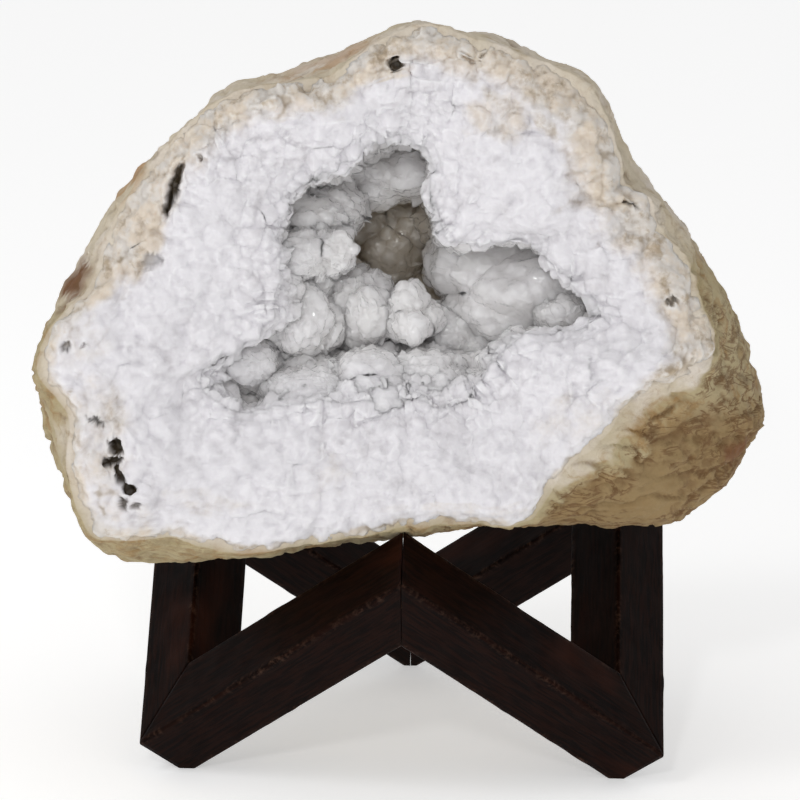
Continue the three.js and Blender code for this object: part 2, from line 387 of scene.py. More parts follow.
class NodeGraph:
    """A material's node tree, with short calls for the nodes the finishes share.

    Attributes:
        FIRST_COLOUR, SECOND_COLOUR, MIXED_COLOUR: Places of a Mix node's colour sockets.
    """

    FIRST_COLOUR, SECOND_COLOUR, MIXED_COLOUR = 6, 7, 2

    def __init__(self, name: str) -> None:
        """Starts a material with a bare Principled shader.

        Args:
            name: The material's name.
        """
        self.material = bpy.data.materials.new(name)
        self.material.use_nodes = True
        self.tree = self.material.node_tree
        self.shader = self.tree.nodes["Principled BSDF"]
        self.place = self.add("ShaderNodeTexCoord").outputs["Object"]

    def add(self, kind: str, **settings: object) -> bpy.types.Node:
        """Adds a node and sets its properties.

        Args:
            kind: The node's type.
            settings: Its properties by name.

        Returns:
            The node.
        """
        node = self.tree.nodes.new(kind)
        for key, value in settings.items():
            setattr(node, key, value)
        return node

    def feed(self, socket: bpy.types.NodeSocket, value: object) -> None:
        """Links a socket from another, or sets it.

        Args:
            socket: The socket to fill.
            value: A socket, a number, or a colour.
        """
        if isinstance(value, bpy.types.NodeSocket):
            self.tree.links.new(value, socket)
        elif isinstance(value, tuple) and len(value) == 3 and socket.type == "RGBA":
            socket.default_value = (*value, 1.0)
        else:
            socket.default_value = value

    def dress(self, sockets: dict[str, object]) -> None:
        """Sets or links the shader's own sockets, by their names."""
        for name, value in sockets.items():
            self.feed(self.shader.inputs[name], value)

    def math(self, operation: str, *values: object) -> bpy.types.NodeSocket:
        """One arithmetic step on numbers.

        Args:
            operation: What the step does.
            values: Sockets or numbers.

        Returns:
            The result.
        """
        node = self.add("ShaderNodeMath", operation=operation)
        for socket, value in zip(node.inputs, values):
            self.feed(socket, value)
        return node.outputs[0]

    def vector(self, operation: str, *values: object) -> bpy.types.NodeSocket:
        """One arithmetic step on vectors.

        Args:
            operation: What the step does.
            values: Sockets or vectors.

        Returns:
            The result.
        """
        node = self.add("ShaderNodeVectorMath", operation=operation)
        for socket, value in zip(node.inputs, values):
            self.feed(socket, value)
        return node.outputs[0]

    def stretched(self, scale: Colour) -> bpy.types.NodeSocket:
        """The object's own coordinates, scaled along each axis."""
        return self.vector("MULTIPLY", self.place, scale)

    def noise(
        self,
        scale: float,
        detail: float = 4.0,
        roughness: float = 0.55,
        distortion: float = 0.0,
        where: bpy.types.NodeSocket | None = None,
    ) -> bpy.types.NodeSocket:
        """Soft noise around 0.5.

        Args:
            scale: Waves per metre.
            detail: Number of finer layers.
            roughness: Strength of the finer layers.
            distortion: How far the pattern is pulled about.
            where: Coordinates to use in place of the object's own.

        Returns:
            The noise value.
        """
        node = self.add("ShaderNodeTexNoise")
        self.feed(node.inputs["Vector"], where or self.place)
        node.inputs["Scale"].default_value = scale
        node.inputs["Detail"].default_value = detail
        node.inputs["Roughness"].default_value = roughness
        node.inputs["Distortion"].default_value = distortion
        return node.outputs["Fac"]

    def cells(self, scale: float, output: str = "Color") -> bpy.types.NodeSocket:
        """One random value or colour per grain.

        Args:
            scale: Grains per metre.
            output: Which output of the cells to use.

        Returns:
            The value.
        """
        node = self.add("ShaderNodeTexVoronoi")
        self.feed(node.inputs["Vector"], self.place)
        node.inputs["Scale"].default_value = scale
        return node.outputs[output]

    def number(self, name: str) -> bpy.types.NodeSocket:
        """A number stored on the mesh's points."""
        return self.add("ShaderNodeAttribute", attribute_name=name).outputs["Fac"]

    def span(
        self, value: object, low: float, high: float, to_low: float = 0.0, to_high: float = 1.0
    ) -> bpy.types.NodeSocket:
        """A smooth map from one range to another.

        Args:
            value: The number to map.
            low: Where the result starts to change.
            high: Where it stops.
            to_low: The result at low.
            to_high: The result at high.

        Returns:
            The mapped number.
        """
        node = self.add("ShaderNodeMapRange", interpolation_type="SMOOTHSTEP")
        for socket, item in zip(node.inputs, (value, low, high, to_low, to_high)):
            self.feed(socket, item)
        return node.outputs[0]

    def blend(self, share: object, first: object, second: object) -> bpy.types.NodeSocket:
        """A mix of two colours.

        Args:
            share: How much of the second shows.
            first: A colour or its socket.
            second: A colour or its socket.

        Returns:
            The mixed colour.
        """
        node = self.add("ShaderNodeMix", data_type="RGBA")
        self.feed(node.inputs["Factor"], share)
        self.feed(node.inputs[self.FIRST_COLOUR], first)
        self.feed(node.inputs[self.SECOND_COLOUR], second)
        return node.outputs[self.MIXED_COLOUR]

    def relief(self, height: object, depth: float, strength: float = 1.0) -> None:
        """Feeds fine relief, in metres, to the shader's normal.

        Args:
            height: The relief from 0 to 1.
            depth: What a height of 1 stands for, in metres.
            strength: How much of the relief shows.
        """
        node = self.add("ShaderNodeBump")
        node.inputs["Strength"].default_value = strength
        node.inputs["Distance"].default_value = depth
        self.feed(node.inputs["Height"], height)
        before = self.shader.inputs["Normal"]
        if before.is_linked:
            self.feed(node.inputs["Normal"], before.links[0].from_socket)
        self.feed(before, node.outputs["Normal"])

    def facets(self, scale: float, tilt: object, socket: str = "Normal") -> None:
        """Tilts a normal by grains, as small flat crystal faces do.

        Args:
            scale: Grains per metre.
            tilt: How far a grain may lean.
            socket: The shader's normal to tilt.
        """
        random = self.vector("SUBTRACT", self.cells(scale), (0.5, 0.5, 0.5))
        node = self.add("ShaderNodeVectorMath", operation="SCALE")
        self.feed(node.inputs[0], random)
        self.feed(node.inputs["Scale"], tilt)
        normal = self.add("ShaderNodeNewGeometry").outputs["Normal"]
        tilted = self.vector("NORMALIZE", self.vector("ADD", normal, node.outputs[0]))
        self.feed(self.shader.inputs[socket], tilted)


@dataclass(frozen=True)
class QuartzFinish:
    """Milky quartz: white and sugary where broken, greyer and glassier in the hollow.

    The mesh gives four numbers from 0 to 1: "inside" in the hollow, "dirt" where clay and iron
    have soiled it, "deep" for the far pocket's grey-brown with painted shade of its depth, and
    "pit" in the earth-filled holes.

    Attributes:
        scatter_mm: How far light spreads under the surface.
        bending: Quartz's index of refraction.
        facets_per_m: How fine the crystal faces are.
        glints_per_m: How fine the faces of the glossy coat are.
    """

    name: str
    snow: Colour = (0.8, 0.785, 0.81)
    shade: Colour = (0.69, 0.67, 0.69)
    milk: Colour = (0.83, 0.815, 0.82)
    clear: Colour = (0.765, 0.75, 0.745)
    clay: Colour = (0.44, 0.355, 0.255)
    cream: Colour = (0.69, 0.605, 0.505)
    ash: Colour = (0.68, 0.64, 0.595)
    umber: Colour = (0.075, 0.052, 0.026)
    # painted shade: the far pocket's grey-brown, darker than the hollow's quartz to stand in for
    # the shade of its depth
    pocket_brown_shade: Colour = (0.64, 0.55, 0.42)
    scatter_mm: float = 6.0
    bending: float = 1.54
    facets_per_m: float = 420
    glints_per_m: float = 800

    def material(self) -> bpy.types.Material:
        """Builds the node tree.

        Returns:
            The material.
        """
        g = NodeGraph(self.name)
        inside, dirt = g.number("inside"), g.number("dirt")
        cloud = g.span(g.noise(30, 5, 0.6), 0.4, 0.66)
        grain = g.span(g.noise(130, 3, 0.6), 0.4, 0.7)
        face = g.blend(g.math("MULTIPLY", cloud, grain), self.snow, self.shade)
        hollow = g.blend(g.span(g.noise(60, 3), 0.35, 0.65), self.milk, self.clear)
        colour = g.blend(inside, face, hollow)
        soil = g.blend(g.span(g.noise(48, 5, 0.65), 0.42, 0.58), self.cream, self.ash)
        soil = g.blend(g.span(g.noise(85, 5, 0.65), 0.50, 0.68), soil, self.clay)
        spread = g.math("MULTIPLY", g.noise(75, 5, 0.65), 0.85)
        colour = g.blend(g.span(g.math("SUBTRACT", dirt, spread), -0.26, 0.46), colour, soil)
        # painted shade: the deeper into the far pocket, the darker and browner the colour
        colour = g.blend(g.number("deep"), colour, self.pocket_brown_shade)
        colour = g.blend(g.number("pit"), colour, self.umber)
        crevice = g.math("MULTIPLY", g.number("crevice"), g.span(g.noise(60, 4), 0.42, 0.62))
        colour = g.blend(g.math("MULTIPLY", crevice, 0.75), colour, self.clay)
        sparkle = g.span(g.cells(self.facets_per_m, "Distance"), 0.1, 0.9, 0.09, 0.26)
        g.dress({
            "Base Color": colour,
            "Roughness": g.math("ADD", sparkle, g.span(inside, 0, 1, 0.32, 0.0)),
            "IOR": self.bending,
            "Subsurface Weight": 1.0,
            "Subsurface Radius": (1.0, 1.0, 1.0),
            "Subsurface Scale": self.scatter_mm * MM,
            "Coat Weight": g.span(inside, 0, 1, 0.2, 1.0),
            "Coat Roughness": 0.16,
            "Coat IOR": self.bending,
        })
        g.facets(self.facets_per_m, g.span(inside, 0, 1, 0.20, 0.12))
        g.facets(self.glints_per_m, 0.5, "Coat Normal")
        g.relief(g.noise(520, 5, 0.7), 0.0007, 0.5)
        return g.material


@dataclass(frozen=True)
class RindFinish:
    """Weathered tan rind with ochre patches, brown fissures and pits.

    The mesh gives numbers from 0 to 1: "pit", "fissure", "stain" and "rust" where they are,
    "weather" where the skin is oldest and brownest, and "broken" on the fresh edge.

    Attributes:
        seams: Sets of brown seams: waves per metre, width, and where their patches start and end.
    """

    name: str
    seams: tuple[tuple[float, float, float, float], ...] = (
        (30, 0.040, 0.42, 0.52), (74, 0.062, 0.46, 0.56),
    )
    chalk: Colour = (0.735, 0.665, 0.58)
    cream: Colour = (0.64, 0.56, 0.43)
    olive: Colour = (0.46, 0.38, 0.225)
    ochre: Colour = (0.36, 0.225, 0.095)
    brown: Colour = (0.29, 0.195, 0.088)
    vein: Colour = (0.165, 0.088, 0.036)
    stain: Colour = (0.18, 0.08, 0.034)
    rust: Colour = (0.44, 0.245, 0.105)

    def material(self) -> bpy.types.Material:
        """Builds the node tree.

        Returns:
            The material.
        """
        g = NodeGraph(self.name)
        weather = g.number("weather")
        young = g.blend(g.span(g.noise(26, 5, 0.6, 0.4), 0.40, 0.62), self.cream, self.chalk)
        old = g.blend(g.span(g.noise(38, 5, 0.65, 0.6), 0.48, 0.70), self.olive, self.ochre)
        spread = g.math("MULTIPLY", g.noise(32, 5, 0.65), 0.9)
        aged = g.span(g.math("SUBTRACT", weather, spread), -0.22, 0.34)
        colour = g.blend(aged, young, old)
        stripes = g.span(g.noise(95, 5, 0.7, 0.8), 0.52, 0.70)
        stripes = g.math("MULTIPLY", stripes, g.span(weather, 0, 1, 0.3, 0.9))
        colour = g.blend(stripes, colour, self.ochre)
        colour = g.blend(g.span(weather, 1.08, 1.5, 0.0, 0.9), colour, self.brown)
        slanted = g.stretched((0.9, 0.8, 2.1))
        for scale, width, low, high in self.seams:
            ridge = g.math("SUBTRACT", g.noise(scale, 6, 0.62, 0.9, slanted), 0.5)
            seam = g.span(g.math("ABSOLUTE", ridge), 0.0, width, 1, 0)
            seam = g.math("MULTIPLY", seam, g.span(g.noise(0.7 * scale, 3, 0.6), low, high))
            seam = g.math("MULTIPLY", seam, g.span(weather, 0.6, 1.35, 0.06, 0.9))
            colour = g.blend(seam, colour, self.vein)
        colour = g.blend(g.number("broken"), colour, self.chalk)
        colour = g.blend(g.number("rust"), colour, self.rust)
        colour = g.blend(g.number("stain"), colour, self.stain)
        patchy = g.span(g.noise(60, 4), 0.45, 0.65, 0.0, 0.7)
        groove = g.math("MULTIPLY", g.number("fissure"), patchy)
        colour = g.blend(g.math("MAXIMUM", g.number("pit"), groove), colour, self.vein)
        rough = g.span(g.noise(80, 3), 0.3, 0.7, 0.66, 0.9)
        g.dress({"Base Color": colour, "Roughness": rough, "Specular IOR Level": 0.25})
        g.relief(g.noise(170, 6, 0.66), 0.0026, 0.8)
        return g.material


@dataclass(frozen=True)
class StainedWoodFinish:
    """Espresso-stained hardwood, rubbed to a satin and worn along its edges.

    The mesh gives "edge", from 0 on the flats to 1 along the worn arrises.
    """

    name: str
    dark: Colour = (0.0035, 0.0014, 0.0010)
    brown: Colour = (0.0110, 0.0034, 0.0019)
    red: Colour = (0.040, 0.0100, 0.0042)
    worn: Colour = (0.085, 0.045, 0.030)

    def material(self) -> bpy.types.Material:
        """Builds the node tree, with the grain along the rail's own X axis.

        Returns:
            The material.
        """
        g = NodeGraph(self.name)
        along = g.stretched((0.10, 1.0, 1.0))
        grain = g.noise(420, 5, 0.6, 0.6, along)
        colour = g.blend(g.span(grain, 0.38, 0.62), self.dark, self.brown)
        patch = g.span(g.noise(16, 3, 0.5, 0.0, g.stretched((0.5, 1.0, 1.0))), 0.58, 0.78)
        colour = g.blend(g.math("MULTIPLY", patch, 0.8), colour, self.red)
        scuffs = g.span(g.noise(260, 4, 0.7), 0.45, 0.7)
        wear = g.math("MULTIPLY", g.number("edge"), scuffs)
        colour = g.blend(g.math("MULTIPLY", wear, 0.6), colour, self.worn)
        rough = g.span(g.noise(60, 4), 0.3, 0.7, 0.34, 0.52)
        g.dress({"Base Color": colour, "Roughness": rough, "Specular IOR Level": 0.03})
        g.relief(grain, 0.0004, 0.35)
        return g.material


@dataclass(frozen=True)
class DowelFinish:
    """Bare turned beech."""

    name: str
    pale: Colour = (0.55, 0.36, 0.19)
    ring: Colour = (0.38, 0.22, 0.10)

    def material(self) -> bpy.types.Material:
        """Builds the node tree.

        Returns:
            The material.
        """
        g = NodeGraph(self.name)
        g.dress({"Base Color": g.blend(g.noise(300, 3), self.pale, self.ring), "Roughness": 0.7})
        g.relief(g.noise(600, 2), 0.0002, 0.4)
        return g.material


# The stone's form

@dataclass(frozen=True)
class Outline:
    """A closed outline as radii at given angles, joined by smooth curves.

    Attributes:
        knots: Pairs of angle in degrees and radius in millimetres, angles rising.
    """

    knots: tuple[tuple[float, float], ...]

    def __call__(self, angle: np.ndarray) -> np.ndarray:
        """The radius at any angle in radians.

        Args:
            angle: Angles, of any shape.

        Returns:
            Radii of the same shape.
        """
        a = np.array([k[0] for k in self.knots])
        r = np.array([k[1] for k in self.knots])
        a = np.concatenate([a[-2:] - 360, a, a[:3] + 360])
        r = np.concatenate([r[-2:], r, r[:3]])
        slope = np.gradient(r, a)
        x = np.degrees(angle) % 360
        i = np.clip(np.searchsorted(a, x, side="right") - 1, 1, len(a) - 2)
        h = a[i + 1] - a[i]
        t = (x - a[i]) / h
        first = (1 + 2 * t) * (1 - t) ** 2 * r[i] + t * (1 - t) ** 2 * h * slope[i]
        second = t * t * (3 - 2 * t) * r[i + 1] + t * t * (t - 1) * h * slope[i + 1]
        return first + second


RIM = Outline((
    (0, 162), (10, 153), (17, 142), (24, 143), (29, 136), (36, 142), (43, 148), (51, 152),
    (66, 147), (79, 147), (87, 148), (94, 142), (102, 134), (108, 128), (117, 132), (133, 146),
    (146, 152), (155, 156), (165, 161), (173, 165), (180, 172), (186, 192), (192, 201),
    (200, 192), (209, 207), (215, 211), (219, 211), (223, 197), (227, 181), (232, 174),
    (239, 164), (247, 148), (255, 138), (262, 130), (270, 124), (287, 127), (301, 138),
    (308, 132), (315, 127), (326, 131), (337, 136), (343, 145), (348, 163), (353, 169),
))
GIRTH = Outline(tuple(zip(range(0, 360, 5), (
    172, 165, 160, 156, 149, 144, 141, 141, 144, 149, 155, 153, 148, 148, 148, 148, 145, 146,
    149, 145, 140, 136, 133, 131, 131, 135, 142, 147, 149, 151, 156, 161, 166, 170, 173, 178,
    186, 193, 201, 210, 212, 214, 216, 220, 222, 215, 200, 185, 171, 160, 149, 142, 136, 134,
    132, 133, 134, 135, 138, 141, 149, 158, 169, 182, 196, 202, 207, 206, 207, 198, 186, 178,
))))
MOUTH = Outline((
    (1, 100), (10, 87), (22, 74), (28, 54), (36, 43), (56, 43), (66, 52), (76, 74), (87, 84),
    (99, 82), (112, 74), (132, 74), (143, 76), (155, 69), (166, 64), (178, 63), (188, 67),
    (197, 73), (200, 82), (203, 106), (207, 116), (213, 114), (221, 105), (229, 86), (242, 69),
    (262, 61), (276, 61), (293, 67), (306, 75), (316, 70), (330, 69), (341, 78), (347, 96),
    (354, 114),
))


@dataclass(frozen=True)
class Mark:
    """A pit, slit or patch on the stone.

    Attributes:
        u: Place across the face.
        v: Place up the face.
        across: Half width.
        up: Half height.
        depth: How deep it goes, or how strong a patch is.
        turn: Degrees that the long side is turned anticlockwise.
        w: Place behind the face's plane.
    """

    u: float
    v: float
    across: float
    up: float
    depth: float
    turn: float = 0.0
    w: float = 0.0

    def share(self, u: np.ndarray, v: np.ndarray, blur: float) -> np.ndarray:
        """How much of the mark is at a place: 1 inside, 0 outside, soft between.

        Args:
            u: Across the face.
            v: Up the face.
            blur: Softness of the edge, as a share of the mark.

        Returns:
            The shares.
        """
        c, s = math.cos(math.radians(self.turn)), math.sin(math.radians(self.turn))
        x = ((u - self.u) * c + (v - self.v) * s) / self.across
        y = (-(u - self.u) * s + (v - self.v) * c) / self.up
        return 1 - smoothstep(1 - blur, 1 + blur, np.hypot(x, y))


FACE_PITS = (
    Mark(-124, 57, 3.0, 15, 10, -16), Mark(-7, 127, 4.5, 3.6, 8), Mark(-110, 75, 1.6, 1.6, 4),
    Mark(-180, -29, 2.4, 3.2, 5), Mark(-171, -27, 1.4, 1.4, 3), Mark(-164, -68, 4.5, 1.8, 5, -30),
    Mark(-153, -82, 3.6, 4.2, 12), Mark(-155, -90, 5.0, 2.6, 9, 20),
    Mark(-151, -98, 2.0, 6.0, 9, 20), Mark(-146, -105, 3.4, 3.0, 9), Mark(-149, -113, 2.2, 3.6, 6),
    Mark(-142, -114, 3.4, 1.6, 5), Mark(121, 55, 4.2, 2.2, 5, -20), Mark(144, 3, 3.0, 2.4, 5),
    Mark(32, 130, 4.6, 1.1, 3, -35), Mark(40, 132, 3.2, 1.0, 3, 35),
    Mark(102, 108, 1.0, 3.6, 3, 25), Mark(-136, 18, 6, 4, 4, 30), Mark(-54, 112, 4, 2, 3),
)
FACE_DIRT = (
    Mark(82, 112, 40, 16, 0.85, -35), Mark(48, 100, 20, 16, 0.6), Mark(101, 84, 14, 30, 0.8, 12),
    Mark(140, 24, 14, 42, 0.62, 25), Mark(152, -22, 13, 18, 0.75, 20),
    Mark(118, 60, 26, 14, 0.55, -30), Mark(-143, 40, 17, 36, 0.85, -24),
    Mark(-48, 113, 32, 10, 0.62, 24), Mark(-10, 126, 16, 9, 0.7), Mark(94, -60, 30, 17, 0.34, 25),
    Mark(-174, -26, 16, 18, 0.36), Mark(-162, -80, 17, 40, 0.5), Mark(-150, -120, 26, 10, 0.38),
    Mark(-40, -94, 14, 14, 0.3), Mark(60, 128, 40, 9, 0.6, -14), Mark(-100, -112, 26, 9, 0.4),
    Mark(36, -112, 60, 5, 0.35), Mark(-54, -4, 22, 12, 0.16),
)
RIND_STAINS = (Mark(-180, 6, 12, 11, 1.0, 30, 18), Mark(184, -82, 7, 9, 0.9, 30, 40))
RIND_RUST = (
    Mark(-150, 64, 6, 15, 0.75, -32, 14), Mark(-50, 128, 30, 6, 0.6, 20, 16),
    Mark(-206, -60, 7, 30, 0.6, 0, 20), Mark(146, 62, 5, 22, 0.4, 30, 20),
)


def ring_noise(
    angle: np.ndarray, radius: float, size: float, strength: float, seed: int
) -> np.ndarray:
    """Noise of a given coarsest size and strength that runs round a ring and meets itself."""
    spot = np.stack([np.cos(angle) * radius, np.sin(angle) * radius, 0 * angle], -1)
    return strength * layered_noise(spot.reshape(-1, 3), size, 4, seed).reshape(angle.shape)


class RailSpan(Enum):
    """The six rails in order, each from one turn of the zigzag to the next."""

    FRONT_LEFT = "front_left_rail"
    LEFT = "left_rail"
    BACK_LEFT = "back_left_rail"
    BACK_RIGHT = "back_right_rail"
    RIGHT = "right_rail"
    FRONT_RIGHT = "front_right_rail"


@dataclass(frozen=True)
class StandPlan:
    """The cube-corner plan of the stand, in millimetres."""

    cube_edge: float = 208.0
    side: float = 38.0
    foot_cut: float = 4.0
    seat_cut: float = 1.5
    mitre_gap: float = 0.3
    centre_x: float = 0.0

    @property
    def height(self) -> float:
        """From the floor to the eased seats."""
        return (self.cube_edge + 2 * self.side) / math.sqrt(3) - self.foot_cut - self.seat_cut

    def corner(self, turn: int) -> tuple[np.ndarray, np.ndarray]:
        """A turn of the zigzag.

        Args:
            turn: 0 for the front seat, then on round to the left; any whole number.

        Returns:
            The cube's corner there, and the direction of the cube edge that has no rail.
        """
        angle = -math.pi / 2 - turn * math.pi / 3
        seat = turn % 2 == 0
        layer = self.cube_edge / math.sqrt(3)
        radius = self.cube_edge * math.sqrt(2 / 3)
        z = self.side / math.sqrt(3) - self.foot_cut + (layer if seat else 0)
        at = np.array([radius * math.cos(angle), radius * math.sin(angle), z])
        pole = np.array([0, 0, z + (layer if seat else -layer)])
        shift = np.array([self.centre_x, 0, 0])
        return at + shift, unit(pole - at)

    def seat_tips(self) -> list[np.ndarray]:
        """The three highest corners, before they are eased.

        Returns:
            The points.
        """
        tips = []
        for turn in (0, 2, 4):
            at, free = self.corner(turn)
            tips.append(at + free * self.side)
        return tips


@dataclass(frozen=True)
class GeodeForm:
    """The broken boulder: a tilted face, a flaring flank, a blunt back and a hollow."""

    stand: StandPlan
    lean: float = math.radians(8)
    centre: tuple[float, float, float] = (-2.3, -127.2, 285.0)
    depth: float = 270.0
    girth_depth: float = 62.0
    bluntness: float = 2.3
    back_drift: tuple[float, float] = (14.0, -3.0)
    rind: float = 8.0
    mouth_centre: tuple[float, float] = (-5.0, 5.0)
    seat_gap: float = 0.4
    seat_reach: float = 30.0
    seat_drop: float = 40.0
    face_waves: float = 6.5
    face_lumps: tuple[tuple[float, float, int], ...] = ((5.0, 30, 23), (3.0, 13, 24))
    face_level: float = 4.8
    glassy_depth: tuple[float, float] = (8, 34)
    # painted shade of the far pocket: where it starts and ends behind the face, and how strong it
    # is
    pocket_shade_depth: tuple[float, float] = (64, 122)
    pocket_shade_strength: float = 0.8

    def place(self, u: np.ndarray, v: np.ndarray, w: np.ndarray) -> np.ndarray:
        """Face coordinates as points in the row's frame.

        Args:
            u: Across the face, to the right.
            v: Up the face.
            w: Behind the face.

        Returns:
            Points in millimetres.
        """
        s, c = math.sin(self.lean), math.cos(self.lean)
        x, y, z = self.centre
        u, v, w = np.broadcast_arrays(u, v, w)
        return np.stack([x + self.stand.centre_x + u, y + s * v + c * w, z + c * v - s * w], -1)

    def unplace(self, points: np.ndarray) -> tuple[np.ndarray, np.ndarray, np.ndarray]:
        """Points of the row's frame as face coordinates.

        Args:
            points: Points in millimetres.

        Returns:
            Across, up and behind the face.
        """
        s, c = math.sin(self.lean), math.cos(self.lean)
        x = points[:, 0] - self.centre[0] - self.stand.centre_x
        y, z = points[:, 1] - self.centre[1], points[:, 2] - self.centre[2]
        return x, s * y + c * z, c * y - s * z

    def depth_numbers(self, points: np.ndarray) -> dict[str, np.ndarray]:
        """How far points are into the hollow, and into its far pocket where a painted shade falls,
        from 0 to 1.

        Args:
            points: Points in millimetres.

        Returns:
            The numbers "inside" and "deep" for the quartz's finish; "deep" paints shade in the far
            pocket.
        """
        _, _, behind = self.unplace(points)
        return {
            "inside": smoothstep(*self.glassy_depth, behind),
            "deep": self.pocket_shade_strength * smoothstep(*self.pocket_shade_depth, behind),
        }

    def relief(self, u: np.ndarray, v: np.ndarray) -> np.ndarray:
        """How far the broken face lies behind its plane at a place.

        Args:
            u: Across the face.
            v: Up the face.

        Returns:
            Millimetres behind the plane; negative stands proud.
        """
        flat = np.stack([u, v, np.zeros_like(u)], -1).reshape(-1, 3)
        broad = layered_noise(flat, 60, 4, 21) * self.face_waves
        lumps = lump_layers(flat, self.face_lumps)
        return (broad - lumps + self.face_level).reshape(u.shape)

    def rim(self, angle: np.ndarray) -> np.ndarray:
        """The radius of the broken rim, as ragged as a fracture."""
        return RIM(angle) + ring_noise(angle, radius=150, size=15, strength=2.6, seed=11)

    def mouth(self, angle: np.ndarray) -> np.ndarray:
        """The radius of the lip of the hollow, notched by its crystals."""
        return MOUTH(angle) + ring_noise(angle, radius=75, size=15, strength=4.5, seed=13)

    def rim_depth(self, angle: np.ndarray) -> np.ndarray:
        """How far behind the plane the broken rim lies."""
        waves = 3 * np.sin(3 * angle + 0.8) + 2 * np.sin(5 * angle)
        return waves + ring_noise(angle, radius=150, size=20, strength=3.0, seed=12)

    def swell(self, angle: np.ndarray, w: np.ndarray) -> np.ndarray:
        """How far the boulder's skin swells, from nothing at the rim."""
        waves = 3 * np.sin(3 * angle + w / 45) + 2.4 * np.sin(5 * angle - w / 33 - 1)
        return smoothstep(0, self.girth_depth, w) * (waves + 1.2 * np.sin(8 * angle + w / 20))

    def flank(self, angle: np.ndarray, t: np.ndarray) -> np.ndarray:
        """The skin between the rim (t = 0) and the girth (t = 1).

        Args:
            angle: Round the stone.
            t: From the rim to the girth.

        Returns:
            Points in millimetres.
        """
        rim, girth = self.rim(angle), GIRTH(angle)
        w = self.rim_depth(angle) + (self.girth_depth - self.rim_depth(angle)) * t**1.4
        r = rim + (girth - rim) * (1 - (1 - t) ** 1.7) + self.swell(angle, w)
        return self.place(r * np.cos(angle), r * np.sin(angle), w)

    def back(self, angle: np.ndarray, turned: np.ndarray) -> np.ndarray:
        """The skin between the girth (turned = pi/2) and the back pole (turned = 0).

        Args:
            angle: Round the stone.
            turned: From the pole to the girth, in radians.

        Returns:
            Points in millimetres.
        """
        out = np.sin(turned) ** (2 / self.bluntness)
        back = np.cos(turned) ** (2 / self.bluntness)
        w = self.girth_depth + (self.depth - self.girth_depth) * back
        r = (GIRTH(angle) + self.swell(angle, w)) * out
        drift_u, drift_v = self.back_drift
        return self.place(drift_u * back + r * np.cos(angle), drift_v * back + r * np.sin(angle), w)

    def clear_seats(self, points: np.ndarray) -> np.ndarray:
        """Keeps the skin just above the three seats that carry it.

        Args:
            points: The skin's points.

        Returns:
            The points, lifted where they would sink into the wood.
        """
        lifted = points.copy()
        for tip in self.stand.seat_tips():
            away = np.hypot(points[:, 0] - tip[0], points[:, 1] - tip[1])
            wood = np.minimum(self.stand.height, tip[2] - away / math.sqrt(2)) + self.seat_gap
            low = (away < self.seat_reach) & (lifted[:, 2] < wood)
            low = low & (lifted[:, 2] > tip[2] - self.seat_drop)
            lifted[low, 2] = wood[low]
        return lifted


# The rind

